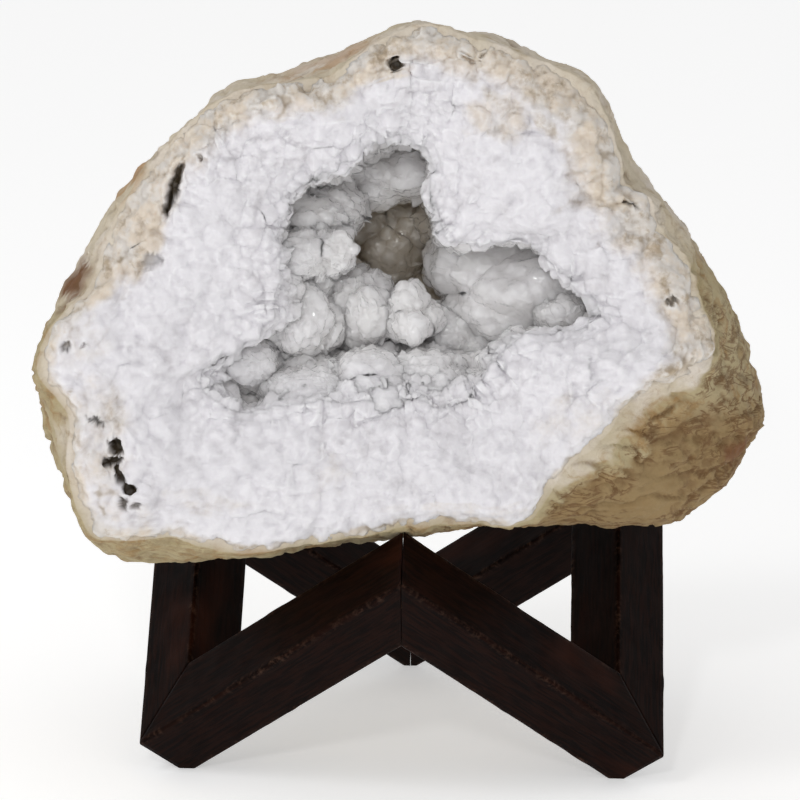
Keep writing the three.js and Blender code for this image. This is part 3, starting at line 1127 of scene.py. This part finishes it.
@dataclass
class Rind:
    """The boulder's weathered skin, from the broken edge round to the back.

    Attributes:
        cracks: Sets of cracks: size and width of the pattern, and its seed.
        broad, folds, knobs, grit: Heights of the skin's layers of relief.
        pocks, fissures: Depths of its pock marks and cracks.
        level: How far the whole relief is let in, so that the skin keeps its place.
    """

    form: GeodeForm
    around: int = 860
    flank_rings: int = 84
    back_rings: int = 112
    edge_rings: int = 14
    edge_width: float = 12.0
    cracks: tuple[tuple[float, float, int], ...] = ((36, 0.12, 53), (19, 0.18, 54))
    broad: float = 4.0
    folds: float = 1.7
    knobs: float = 1.7
    grit: float = 1.1
    pocks: float = 1.4
    level: float = 2.6
    fissures: float = 1.9

    def build(self, material: bpy.types.Material) -> bpy.types.Object:
        """Makes the skin and its broken edge.

        Args:
            material: The rind's finish.

        Returns:
            The rind.
        """
        angle = ring_angles(self.around)
        turned = np.linspace(0.012, math.pi / 2, self.back_rings, endpoint=False)
        back = self.form.back(angle[None, :], turned[:, None])
        t = np.linspace(1, 0, self.flank_rings) ** 1.15
        flank = self.form.flank(angle[None, :], t[:, None])
        surface = ring_surface(np.concatenate([back, flank]))
        skin, holes = self.skin_relief(surface.points)
        fade = np.concatenate([np.ones(self.back_rings), smoothstep(0, 0.10, t)])
        fade = 0.25 + 0.75 * np.repeat(fade, self.around)
        surface.push((skin - self.fissures * holes["fissure"]) * fade)
        count = len(surface.points)
        edge = self.edge(angle, surface.points[-self.around :])
        whole = ring_surface(np.concatenate([surface.points.reshape(-1, self.around, 3), edge]))
        whole.points = self.form.clear_seats(whole.points)
        edge_share = np.zeros(len(whole.points))
        edge_share[count:] = np.repeat(np.linspace(0.3, 1, self.edge_rings), self.around)
        for key, values in holes.items():
            whole.numbers[key] = np.append(values, np.zeros(len(edge_share) - count))
        self.marks(whole, edge_share)
        self.close_pole(whole)
        return whole.to_object("rind_skin", material)

    def close_pole(self, whole: Surface) -> None:
        """Closes the small round opening at the back.

        Args:
            whole: The skin, whose first ring is the opening.
        """
        middle = whole.points[: self.around].mean(0)
        last = len(whole.points)
        whole.points = np.concatenate([whole.points, middle[None]])
        ring = np.arange(self.around)
        whole.triangles = np.stack([np.full(self.around, last), (ring + 1) % self.around, ring], -1)
        for key, values in whole.numbers.items():
            whole.numbers[key] = np.append(values, 0.0)

    def skin_relief(self, points: np.ndarray) -> tuple[np.ndarray, dict[str, np.ndarray]]:
        """The skin's lumps, wrinkles, fissures and pock marks.

        Args:
            points: The smooth skin.

        Returns:
            Millimetres along the normals, and the places of fissures and pits from 0 to 1.
        """
        warp = np.stack([layered_noise(points, 22, 3, seed) for seed in (33, 34, 35)], -1)
        bent = points + 9 * warp
        broad = self.broad * layered_noise(points, 62, 3, 31)
        wrinkled = bent * np.array([0.75, 0.8, 1.9])
        folds = 1 - np.abs(layered_noise(wrinkled, 24, 4, 37)) * 2.4
        knobs = self.knobs * round_lumps(bent * np.array([0.8, 1.0, 1.3]), 17, 43)
        grit = self.grit * layered_noise(points, 6, 3, 41)
        _, v, w = self.form.unplace(points)
        fissure = np.zeros(len(points))
        for size, width, seed in self.cracks:
            cracked = np.abs(layered_noise(bent * np.array([0.65, 0.8, 1.6]), size, 3, seed))
            worn = layered_noise(points, 40, 2, seed + 4) + 0.3 * smoothstep(60, -90, v)
            crack = (1 - smoothstep(0.0, width, cracked)) * smoothstep(-0.1, 0.3, worn)
            fissure = np.maximum(fissure, crack * (1 - 0.6 * smoothstep(70, 130, w)))
        pocks = smoothstep(0.70, 0.92, round_lumps(bent, 8, 47))
        pocks = pocks * smoothstep(0.15, 0.5, layered_noise(points, 40, 2, 49))
        relief = broad + self.folds * folds + knobs + grit - self.pocks * pocks - self.level
        return relief, {"fissure": fissure, "pit": 0.5 * pocks}

    def edge(self, angle: np.ndarray, rim: np.ndarray) -> np.ndarray:
        """The broken edge, from the rim in towards the quartz and down behind it.

        Args:
            angle: Angles of the rings' points.
            rim: The skin's last ring.

        Returns:
            Rings of points.
        """
        radius, depth = self.form.rim(angle), self.form.rim_depth(angle)
        plain = self.form.place(radius * np.cos(angle), radius * np.sin(angle), depth)
        rings = []
        for k in range(1, self.edge_rings + 1):
            share = k / self.edge_rings
            r = radius - self.edge_width * share
            u, v = r * np.cos(angle), r * np.sin(angle)
            spot = np.stack([u, v, 0 * u], -1)
            rough = 2.4 * layered_noise(spot, 9, 3, 51) * min(1.0, share * 3)
            w = depth - 0.8 * math.sin(math.pi * share) + rough + 6.0 * max(0, share - 0.6)
            rings.append(self.form.place(u, v, w) + (rim - plain) * max(0.0, 1 - share * 2.5))
        return np.stack(rings)

    def marks(self, whole: Surface, edge_share: np.ndarray) -> None:
        """Stores the places of stains, rust, weathering and fresh breaks.

        Args:
            whole: The finished surface.
            edge_share: 1 on the broken edge, 0 on the skin.
        """
        p = whole.points
        u, v, w = self.form.unplace(p)
        ragged = 6 * layered_noise(p, 11, 4, 61)
        for key, marks in (("stain", RIND_STAINS), ("rust", RIND_RUST)):
            total = np.zeros(len(p))
            for mark in marks:
                share = mark.depth * mark.share(u + ragged, v + ragged[::-1], 0.35)
                deep = np.exp(-(((w + ragged - mark.w) / (10 + mark.across)) ** 2))
                total = np.maximum(total, share * deep)
            whole.numbers[key] = np.clip(total, 0, 1)
        low = smoothstep(70, -20, v) * smoothstep(-60, 60, u) * smoothstep(-4, 9, w)
        rest = 0.34 + 0.15 * smoothstep(60, 160, w) + 0.5 * smoothstep(-85, -118, v)
        rest = rest + 0.4 * smoothstep(-170, -195, u) * smoothstep(20, -30, v)
        low = low * (1.1 + 0.5 * smoothstep(-30, -90, v))
        fresh = edge_share * (1 - 0.85 * np.clip(low, 0, 1))
        whole.numbers["weather"] = np.maximum(rest, low) * (1 - fresh)
        whole.numbers["broken"] = fresh * 0.7


# The quartz

@dataclass
class QuartzLining:
    """The white broken face and the crystal wall of the hollow.

    Attributes:
        proud: How far the face bulges between the rind and the lip.
        wall_lumps: Height, spacing and seed of the swellings on the wall.
        wall_level: How far they are let in, so that the wall keeps its place.
        big: The larger quartz points.
        small: The smaller ones between them.
        warty_at: Where round the face, in degrees, the warty band is widest.
        warty_spread: How many degrees that wide stretch covers.
        warty_width: How much wider it is there.
        raggedness: How far a pit's outline strays.
        band: Width of the soiled band inside the rind.
        wall_profile: Reach and depth of the wall from the lip inwards, where the lip overhangs.
        floor_profile: The same where the hollow slopes out to the face.
    """

    form: GeodeForm
    around: int = 1000
    face_rings: int = 128
    wall_rings: int = 124
    rind_overlap: float = 1.4
    lip_depth: float = 8.0
    proud: float = 9.0
    wall_lumps: tuple[tuple[float, float, int], ...] = ((6.0, 24, 71), (2.4, 11, 72))
    wall_level: float = 4.0
    big: Druse = Druse(9.0, seed=5)
    small: Druse = Druse(4.4, slope=0.9, lean=0.5, height=0.5, seed=9)
    warty_at: float = 203.0
    warty_spread: float = 15.0
    warty_width: float = 22.0
    wart_spacing: float = 8.5
    raggedness: float = 2.6
    band: Outline = Outline((
        (0, 31), (20, 32), (40, 34), (60, 24), (75, 22), (90, 22), (105, 22), (125, 20), (150, 24),
        (170, 22), (190, 13), (205, 13), (220, 14), (235, 9), (250, 7), (270, 6), (290, 7),
        (310, 5), (330, 6), (345, 16),
    ))
    wall_profile: tuple[tuple[float, float], ...] = (
        (1.0, 8), (1.0, 15), (1.0, 26), (0.99, 42), (0.94, 62), (0.81, 86), (0.58, 112),
        (0.30, 136), (0.02, 148),
    )
    floor_profile: tuple[tuple[float, float], ...] = (
        (1.0, 10), (0.96, 13), (0.88, 20), (0.76, 34), (0.62, 52), (0.47, 76), (0.32, 104),
        (0.18, 130), (0.02, 148),
    )

    def face_point(self, angle: np.ndarray, t: np.ndarray) -> tuple[np.ndarray, ...]:
        """A place on the broken face.

        Args:
            angle: Round the face.
            t: 0 under the rind's edge, 1 at the lip of the hollow.

        Returns:
            u, v and w.
        """
        cu, cv = self.form.mouth_centre
        outer = self.form.rim(angle) - self.rind_overlap
        inner = self.form.mouth(angle)
        u0, v0 = outer * np.cos(angle), outer * np.sin(angle)
        u1, v1 = cu + inner * np.cos(angle), cv + inner * np.sin(angle)
        u, v = u0 + (u1 - u0) * t, v0 + (v1 - v0) * t
        inward = t * np.hypot(u1 - u0, v1 - v0)
        proud = self.proud * np.sin(math.pi * np.clip(t, 0, 1) ** 0.8)
        rim_w = self.form.rim_depth(angle) + 2.6 - 4.6 * smoothstep(0, 10, inward)
        floor = self.floor_profile[0][1]
        lip = floor + (self.lip_depth - floor) * (1 - self.floor_share(angle))
        w = rim_w + (lip - rim_w) * t - proud
        w = w + self.form.relief(u, v) * smoothstep(0, 9, inward)
        return u, v, w

    def floor_share(self, angle: np.ndarray) -> np.ndarray:
        """1 where the hollow slopes out to the face, 0 where its lip overhangs.

        Args:
            angle: Round the hollow.

        Returns:
            The share of the sloping floor.
        """
        degrees = np.degrees(angle) % 360
        slope = smoothstep(150, 190, degrees) * (1 - smoothstep(300, 330, degrees))
        return slope * (1 - 0.75 * np.exp(-(((degrees - 219) / 11) ** 2)))

    def wall_point(self, angle: np.ndarray, t: np.ndarray) -> tuple[np.ndarray, ...]:
        """A place on the wall of the hollow.

        Args:
            angle: Round the hollow.
            t: 0 at the lip, 1 at the deepest point.

        Returns:
            u, v and w.
        """
        knots = np.linspace(0, 1, len(self.wall_profile))
        wall, floor = np.array(self.wall_profile), np.array(self.floor_profile)
        share = self.floor_share(angle)
        t = np.broadcast_to(t, np.broadcast_shapes(t.shape, angle.shape))
        mixed = []
        for column in (0, 1):
            a = np.interp(t, knots, wall[:, column])
            b = np.interp(t, knots, floor[:, column])
            mixed.append(a + (b - a) * share)
        reach, w = mixed
        cu, cv = self.form.mouth_centre
        notches = (self.form.mouth(angle) - MOUTH(angle)) * (1 - smoothstep(0, 0.4, t))
        r = (MOUTH(angle) + notches) * reach
        rise = 12 * smoothstep(0.5, 1.0, t)
        u, v = cu + r * np.cos(angle), cv + r * np.sin(angle) + rise
        _, _, lip_w = self.face_point(angle, np.ones_like(angle))
        fade = 1 - smoothstep(0.0, 0.12, t)
        start = np.interp(0, knots, wall[:, 1]) * (1 - share) + floor[0, 1] * share
        return u, v, w + (lip_w - start) * fade

    def build(self, material: bpy.types.Material) -> list[bpy.types.Object]:
        """Makes the two halves of the lining, which meet at the lip.

        Args:
            material: The quartz's finish.

        Returns:
            The face and the wall.
        """
        angle = ring_angles(self.around)
        face_t = np.linspace(0, 1, self.face_rings)
        wall_t = np.linspace(0, 1, self.wall_rings) ** 1.25
        face = self.form.place(*self.face_point(angle[None, :], face_t[:, None]))
        wall = self.form.place(*self.wall_point(angle[None, :], wall_t[:, None]))
        surface = ring_surface(np.concatenate([face, wall[1:]]))
        depth_rings = np.concatenate([face_t - 1, wall_t[1:]])
        along = np.repeat(depth_rings, self.around)
        turned = np.tile(angle, len(depth_rings))
        self.roughen(surface, along, turned)
        return self.split(surface, material)

    def roughen(self, surface: Surface, along: np.ndarray, turned: np.ndarray) -> None:
        """Roughens the lining with crystals and pits, and marks it for its finish.

        Args:
            surface: The smooth lining.
            along: Per point, -1 at the rind, 0 at the lip and 1 at the deepest point.
            turned: Per point, its angle.
        """
        swelling = lump_layers(surface.points, self.wall_lumps) - self.wall_level
        surface.push(swelling * smoothstep(0.02, 0.14, along))
        normals = surface.normals()
        small = self.small.rise(surface.points, normals)
        crust = np.maximum(self.big.rise(surface.points, normals), small - 0.9)
        lip = smoothstep(-0.34, -0.06, along)
        patch = smoothstep(-0.15, 0.35, layered_noise(surface.points, 36, 3, 83))
        cotton = 1.5 - 3.6 * np.abs(layered_noise(surface.points, 11, 4, 81))
        cotton = cotton + 0.9 * layered_noise(surface.points, 4, 3, 82)
        rough = 0.85 * crust * lip + (cotton + patch * (0.42 * crust + 0.2 * small)) * (1 - lip)
        started = smoothstep(-1.0, -0.97, along)
        rough = rough * started
        u, v, pit = self.face_marks(surface.points, along)
        inward = self.form.rim(turned) - np.hypot(u, v)
        aside = (np.degrees(turned) % 360 - self.warty_at) / self.warty_spread
        warty = self.band(turned) + self.warty_width * np.exp(-(aside**2))
        near = (1 - smoothstep(0.7, 1.4, inward / warty)) * started
        knobs = round_lumps(surface.points, self.wart_spacing, 75)
        rough = rough + near * (2.6 * knobs - 1.5 + 1.2 * layered_noise(surface.points, 14, 3, 76))
        surface.numbers["crevice"] = near * (1 - smoothstep(0.08, 0.5, knobs))
        surface.push(rough - pit)
        surface.numbers.update(self.form.depth_numbers(surface.points))
        surface.numbers["dirt"] = self.dirt(surface.points, u, v, along, turned)
        surface.numbers["pit"] = smoothstep(2.0, 8.0, pit)

    def face_marks(self, p: np.ndarray, along: np.ndarray) -> tuple[np.ndarray, ...]:
        """Where each point is on the face, and how deep a pit is there.

        Args:
            p: The lining's points.
            along: Where each lies between rind, lip and depth.

        Returns:
            Across, up and the pit's depth, per point.
        """
        u, v, _ = self.form.unplace(p)
        ragged = self.raggedness * layered_noise(p, 4.2, 3, 91)
        pit = np.zeros(len(p))
        for mark in FACE_PITS:
            pit = np.maximum(pit, mark.depth * mark.share(u + ragged, v - ragged[::-1], 0.3))
        return u, v, pit * (along < -0.05)

    def dirt(
        self, p: np.ndarray, u: np.ndarray, v: np.ndarray, along: np.ndarray, turned: np.ndarray
    ) -> np.ndarray:
        """How soiled each point is, from the patches and the rind's nearness.

        Args:
            p: The lining's points.
            u: Across the face.
            v: Up the face.
            along: Where each lies between rind, lip and depth.
            turned: Per point, its angle.

        Returns:
            0 for clean to 1 for soiled.
        """
        ragged = 9 * layered_noise(p, 16, 3, 95)
        inward = self.form.rim(turned) - np.hypot(u, v)
        band = self.band(turned)
        total = 1.05 * (1 - smoothstep(0.10, 1.45, (inward + 0.5 * ragged) / band))
        for mark in FACE_DIRT:
            total = np.maximum(total, mark.depth * mark.share(u + ragged, v + ragged[::-1], 0.6))
        return np.clip(total * (along < 0), 0, 1)

    def split(self, surface: Surface, material: bpy.types.Material) -> list[bpy.types.Object]:
        """Cuts the lining into face and wall at the lip.

        Args:
            surface: The whole lining.
            material: Its finish.

        Returns:
            The face and the wall.
        """
        lip = (self.face_rings - 1) * self.around
        made = []
        for name, first, last in (
            ("quartz_face", 0, lip + self.around),
            ("hollow_wall", lip, len(surface.points)),
        ):
            keep = (surface.quads.min(1) >= first) & (surface.quads.max(1) < last)
            part = Surface(surface.points[first:last], surface.quads[keep] - first)
            part.numbers = {k: values[first:last] for k, values in surface.numbers.items()}
            made.append(part.to_object(name, material))
        return made


@dataclass(frozen=True)
class CrystalMound:
    """A round mound of quartz points on the wall of the hollow.

    Attributes:
        node: The CAD node that it stands for.
        radius: Mean radius.
        stretch: How much longer it is across, up and deep.
        points_mm: Spacing of its quartz points.
        lobes: How many lumps it is grown from.
        stand_out: How strongly its points stand out.
        core: Radius of the ball that the lobes grow from.
        lobe_out: How far out a lobe's middle may lie.
        lobe_size: How large a lobe may be.
        ripple: How uneven the cluster's skin is.
        finer_above: A mound with a larger radius than this gets smaller triangles.
    """

    node: str
    u: float
    v: float
    w: float
    radius: float
    stretch: tuple[float, float, float] = (1.0, 1.0, 1.0)
    points_mm: float = 8.5
    lobes: int = 7
    stand_out: float = 0.6
    core: float = 0.72
    lobe_out: tuple[float, float] = (0.34, 0.5)
    lobe_size: tuple[float, float] = (0.52, 0.68)
    ripple: float = 0.10
    finer_above: float = 18.0

    def spread(self, directions: np.ndarray, seed: int) -> np.ndarray:
        """The reach of a cluster of overlapping lobes.

        Args:
            directions: Unit vectors from the mound's middle.
            seed: Chooses the lobes.

        Returns:
            The distance to the cluster's skin in each direction, about 1.
        """
        random = np.random.default_rng(seed)
        reach = np.full(len(directions), self.core)
        for _ in range(self.lobes):
            middle = unit(random.normal(size=3)) * random.uniform(*self.lobe_out)
            size = random.uniform(*self.lobe_size)
            towards = directions @ middle
            inner = towards**2 - middle @ middle + size**2
            reach = np.maximum(reach, towards + np.sqrt(np.maximum(inner, 0)))
        return reach

    def build(self, form: GeodeForm, material: bpy.types.Material) -> bpy.types.Object:
        """Makes the mound.

        Args:
            form: Places it on the stone.
            material: Its finish.

        Returns:
            The mound.
        """
        ball = ball_surface(7 if self.radius > self.finer_above else 6)
        centre = form.place(np.array(self.u), np.array(self.v), np.array(self.w))
        seed = 100 + int(self.radius * 7 + self.u)
        directions = ball.points
        reach = self.spread(directions, seed)
        around = directions * self.radius + centre
        reach = reach + self.ripple * layered_noise(around, self.radius * 0.5, 3, seed + 1)
        ball.points = directions * np.array(self.stretch) * (self.radius * reach)[:, None] + centre
        normals = ball.normals()
        big = Druse(self.points_mm, seed=seed)
        small = Druse(self.points_mm * 0.5, slope=0.9, lean=0.5, height=0.5, seed=seed + 3)
        low = small.rise(ball.points, normals) - 0.1 * self.points_mm
        crust = np.maximum(big.rise(ball.points, normals), low)
        ball.push(self.stand_out * crust)
        ball.numbers.update(form.depth_numbers(ball.points))
        return ball.to_object(self.node, material)


MOUNDS = (
    CrystalMound("crystal_centre_ball", 3, -13, 48, 15.5, (1, 1.05, 1)),
    CrystalMound("crystal_centre_mound", -28, -10, 65, 27, (0.95, 1.08, 1.12)),
    CrystalMound("crystal_left_ledge", -50, 21, 45, 22, (1.05, 1, 0.8)),
    CrystalMound("crystal_upper_left_block", -46, 41, 64, 25, (1.1, 0.95, 0.75), points_mm=13.0),
    CrystalMound("crystal_left_mound", -58, -13, 58, 29, (1, 1.2, 1.15)),
    CrystalMound("crystal_lower_left_mound", -89, -38, 43, 24, (1.2, 0.95, 0.8)),
    CrystalMound("crystal_floor_left_mound", -48, -55, 34, 26, (1.25, 1, 0.85)),
    CrystalMound("crystal_floor_middle_mound", -20, -54, 36, 26, (1.2, 1, 0.85)),
    CrystalMound("crystal_floor_right_mound", 16, -53, 36, 26, (1.15, 1, 0.9)),
    CrystalMound("crystal_right_wall_mound", 64, 3, 96, 60, (1.05, 1, 0.62), stand_out=0.5),
    CrystalMound("crystal_right_lower_mound", 32, -29, 74, 25, (1.1, 1, 1)),
    CrystalMound("crystal_right_pocket_mound", 89, -10, 52, 19, (1.1, 1, 0.8)),
    CrystalMound("crystal_back_mound", -11, 23, 135, 30, (1.1, 1, 1), stand_out=0.48),
    CrystalMound(
        "crystal_roof_mound", -16, 64, 88, 26, (1.3, 1.0, 0.85), points_mm=12.0, stand_out=0.48
    ),
    CrystalMound("crystal_right_crest_inner", 60, -32, 26, 16, (1.2, 1, 0.8)),
    CrystalMound("crystal_right_crest_outer", 86, -28, 24, 15, (1.3, 0.9, 0.8)),
)


# The stand

@dataclass
class Rail:
    """One square rail with rounded arrises and a mitre at each end."""

    plan: StandPlan
    span: RailSpan
    rounding: float = 1.6
    arc_steps: int = 5
    flat_steps: int = 14
    stations: int = 90
    wear_width: float = 2.6
    dent: float = 0.28
    wear: float = 0.35

    def section(self) -> tuple[np.ndarray, np.ndarray]:
        """The rounded square section.

        Returns:
            Points as (p, q) pairs round the section, and how much each is on an arris.
        """
        side, r = self.plan.side, self.rounding
        points, edge = [], []
        corners = ((side - r, side - r, 0), (r, side - r, 1), (r, r, 2), (side - r, r, 3))
        for k, (cp, cq, quarter) in enumerate(corners):
            for step in range(self.arc_steps + 1):
                a = (quarter + step / self.arc_steps) * math.pi / 2
                points.append((cp + r * math.cos(a), cq + r * math.sin(a)))
                edge.append(1.0)
            end = points[-1]
            next_p, next_q, next_quarter = corners[(k + 1) % 4]
            a = next_quarter * math.pi / 2
            start = (next_p + r * math.cos(a), next_q + r * math.sin(a))
            for step in range(1, self.flat_steps):
                f = step / self.flat_steps
                points.append((end[0] + (start[0] - end[0]) * f, end[1] + (start[1] - end[1]) * f))
                near = min(f, 1 - f) * (side - 2 * r)
                edge.append(max(0.0, 1 - near / self.wear_width) * 0.5)
        return np.array(points), np.array(edge)

    def build(self, material: bpy.types.Material) -> bpy.types.Object:
        """Makes the rail, in its own frame with X along the grain.

        Args:
            material: Its finish.

        Returns:
            The rail, in place.
        """
        index = list(RailSpan).index(self.span)
        start, free = self.plan.corner(index)
        finish, _ = self.plan.corner(index + 1)
        neighbour, _ = self.plan.corner(index - 1)
        along, across = unit(finish - start), unit(neighbour - start)
        section, edge = self.section()
        gap = self.plan.mitre_gap / math.sqrt(2)
        first = section[:, 1] + gap
        last = self.plan.cube_edge - section[:, 0] - gap
        f = np.linspace(0, 1, self.stations)[:, None]
        x = first[None, :] + (last - first)[None, :] * f
        sections = np.broadcast_to(section, (self.stations, *section.shape))
        local = np.concatenate([x[..., None], sections], -1)
        axes = np.stack([along, free, across], 1)
        world = start + local @ axes.T
        surface = ring_surface(world)
        if np.linalg.det(axes) > 0:
            surface.quads = surface.quads[:, ::-1]
        worn = layered_noise(surface.points, 14, 3, 7 + index)
        dents = self.dent * layered_noise(surface.points, 34, 3, 3 + index) - 0.1
        all_edges = np.tile(edge, self.stations)
        surface.push(dents - self.wear * all_edges * smoothstep(0.0, 0.6, worn))
        surface.numbers["edge"] = np.clip(all_edges * (0.6 + 0.8 * worn), 0, 1)
        obj = surface.to_object(self.span.value, material)
        self.finish_ends(obj)
        self.turn_to_grain(obj, (start + finish) / 2, axes)
        return obj

    def finish_ends(self, obj: bpy.types.Object) -> None:
        """Caps the mitres and saws off the foot's and the seat's corner.

        Args:
            obj: The rail, still in the row's frame.
        """
        bm = bmesh.new()
        bm.from_mesh(obj.data)
        cap_openings(bm)
        for z, direction in ((0.0, -1), (self.plan.height, 1)):
            bmesh.ops.bisect_plane(
                bm,
                geom=[*bm.verts, *bm.edges, *bm.faces],
                plane_co=(0, 0, z * MM),
                plane_no=(0, 0, direction),
                clear_outer=True,
            )
            cap_openings(bm)
        bmesh.ops.recalc_face_normals(bm, faces=bm.faces)
        for f in bm.faces:
            f.smooth = len(f.verts) <= 4
        bm.to_mesh(obj.data)
        bm.free()

    def turn_to_grain(self, obj: bpy.types.Object, middle: np.ndarray, axes: np.ndarray) -> None:
        """Gives the object its own frame, so that its X axis runs along the grain.

        Args:
            obj: The rail.
            middle: Where its new origin goes.
            axes: Along, free and across, as columns.
        """
        x, y = Vector(axes[:, 0]), Vector(axes[:, 1])
        basis = Matrix((x, y, x.cross(y))).transposed().to_4x4()
        basis.translation = Vector(middle) * MM
        obj.data.transform(basis.inverted())
        obj.matrix_world = basis


@dataclass
class Stand:
    """Six rails mitred into a zigzag ring, with two dowels in each mitre."""

    plan: StandPlan

    def build(self) -> None:
        """Makes the rails and dresses the dowels."""
        wood = StainedWoodFinish("stained_hardwood").material()
        for span in RailSpan:
            settle(Rail(self.plan, span).build(wood), "stained_wood", span.value)
        beech = DowelFinish("bare_beech").material()
        dowels = [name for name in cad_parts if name.endswith("_dowel")]
        for name in dowels:
            dress_node(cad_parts[name], beech)
        LOG.info("%d dowels dressed in place", len(dowels))


def dress_node(node: bpy.types.Object, material: bpy.types.Material) -> None:
    """Gives a CAD node a finish of its own."""
    node.data.materials.clear()
    node.data.materials.append(material)


def settle(obj: bpy.types.Object, slot: str, *nodes: str) -> None:
    """Ties a piece to the frame and reports it.

    Args:
        obj: The finished piece.
        slot: The name of a material slot, which is only logged.
        nodes: The CAD nodes that it stands for.
    """
    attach(obj, "root")
    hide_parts(*nodes)
    LOG.info("%s: %d faces, slot %s", obj.name, len(obj.data.polygons), slot)


# The whole geode and the studio

@dataclass
class Geode:
    """The rind, the quartz lining and the crystal mounds."""

    form: GeodeForm

    def build(self) -> None:
        """Makes every stone piece."""
        rind = Rind(self.form).build(RindFinish("weathered_rind").material())
        settle(rind, "tan_rind", "rind")
        face, wall = QuartzLining(self.form).build(QuartzFinish("milky_quartz").material())
        settle(face, "white_quartz", "quartz_lining")
        settle(wall, "crystal_quartz", "quartz_lining")
        crystal = QuartzFinish("crystal_quartz", scatter_mm=16.0).material()
        for mound in MOUNDS:
            settle(mound.build(self.form, crystal), "crystal_quartz", mound.node)


class Softbox(Enum):
    """The studio's lights: place and aim in metres, size, and power in watts."""

    KEY = ((-1.2, -1.1, 1.9), (0.0, 0.0, 0.26), 0.6, 8.2)
    GLINT = ((-0.3, -2.2, 1.3), (0.0, -0.1, 0.28), 0.18, 8.0)

    def build(self) -> None:
        """Makes the light."""
        place, aim, size, power = self.value
        lamp = bpy.data.lights.new(f"softbox_{self.name.lower()}", "AREA")
        lamp.size = size
        lamp.energy = power
        obj = bpy.data.objects.new(lamp.name, lamp)
        obj.location = place
        direction = Vector(aim) - Vector(place)
        obj.rotation_euler = direction.to_track_quat("-Z", "Y").to_euler()
        bpy.context.scene.collection.objects.link(obj)


@dataclass
class Studio:
    """A pale floor, an even pale world, soft lights and a long lens."""

    plan: StandPlan
    white: tuple[float, float, float, float] = (1.0, 1.0, 1.0, 1.0)
    world_strength: float = 0.54
    floor_colour: Colour = (0.90, 0.90, 0.90)
    floor_glow: float = 0.42
    floor_half: float = 14.0
    lens_mm: float = 222.8
    distance: float = 2.806
    pitch: float = math.radians(13.86)
    yaw: float = math.radians(1.26)
    roll: float = math.radians(0.98)
    target: tuple[float, float, float] = (-0.00603, 0.00013, 0.19828)

    def build(self) -> None:
        """Makes everything round the object."""
        self.make_floor()
        self.make_world()
        for light in Softbox:
            light.build()
        self.make_camera()

    def make_floor(self) -> None:
        """A wide plain floor, faintly lit from below as on a light table."""
        mesh = bpy.data.meshes.new("studio_floor")
        h = self.floor_half
        corners = [(-h, -h, 0), (h, -h, 0), (h, h, 0), (-h, h, 0)]
        mesh.from_pydata(corners, [], [(0, 1, 2, 3)])
        floor = bpy.data.objects.new("studio_floor", mesh)
        g = NodeGraph("pale_floor")
        g.dress({
            "Base Color": self.floor_colour,
            "Roughness": 0.9,
            "Specular IOR Level": 0.1,
            "Emission Color": self.white,
            "Emission Strength": self.floor_glow,
        })
        mesh.materials.append(g.material)
        bpy.context.scene.collection.objects.link(floor)
        floor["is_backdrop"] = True

    def make_world(self) -> None:
        """An even pale surround."""
        world = bpy.data.worlds.new("studio_world")
        world.use_nodes = True
        sky = world.node_tree.nodes["Background"]
        sky.inputs["Color"].default_value = self.white
        sky.inputs["Strength"].default_value = self.world_strength
        bpy.context.scene.world = world
        bpy.context.scene.view_settings.view_transform = "Standard"

    def make_camera(self) -> None:
        """A long lens, a little above the stone and a little to its left."""
        data = bpy.data.cameras.new("studio_camera")
        data.lens = self.lens_mm
        data.sensor_width = 36.0
        data.clip_end = 50.0
        camera = bpy.data.objects.new("studio_camera", data)
        view = Vector((0, math.cos(self.pitch), -math.sin(self.pitch)))
        view.rotate(Matrix.Rotation(self.yaw, 3, "Z"))
        shift = Vector((self.plan.centre_x * MM, 0, 0))
        camera.location = Vector(self.target) + shift - view * self.distance
        aim = view.to_track_quat("-Z", "Y")
        camera.matrix_world = (
            Matrix.Translation(camera.location)
            @ aim.to_matrix().to_4x4()
            @ Matrix.Rotation(self.roll, 4, "Z")
        )
        bpy.context.scene.collection.objects.link(camera)
        bpy.context.scene.camera = camera


def stand_centre() -> float:
    """The stand's middle across, in millimetres, from the CAD rails.

    Returns:
        The middle's X.
    """
    low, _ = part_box("left_rail")
    _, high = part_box("right_rail")
    return (low.x + high.x) / 2 / MM


def main() -> None:
    """Builds the studio, the stand and the geode, in that order."""
    logging.basicConfig(level=logging.INFO, format="%(name)s: %(message)s")
    plan = StandPlan(centre_x=stand_centre())
    Studio(plan).build()
    Stand(plan).build()
    Geode(GeodeForm(plan)).build()
    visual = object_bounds()
    boxes = {"cad": CAD_BOX, "visual": visual}
    {k: [list(corner) for corner in box] for k, box in boxes.items()}


if __name__ == "__main__":
    main()
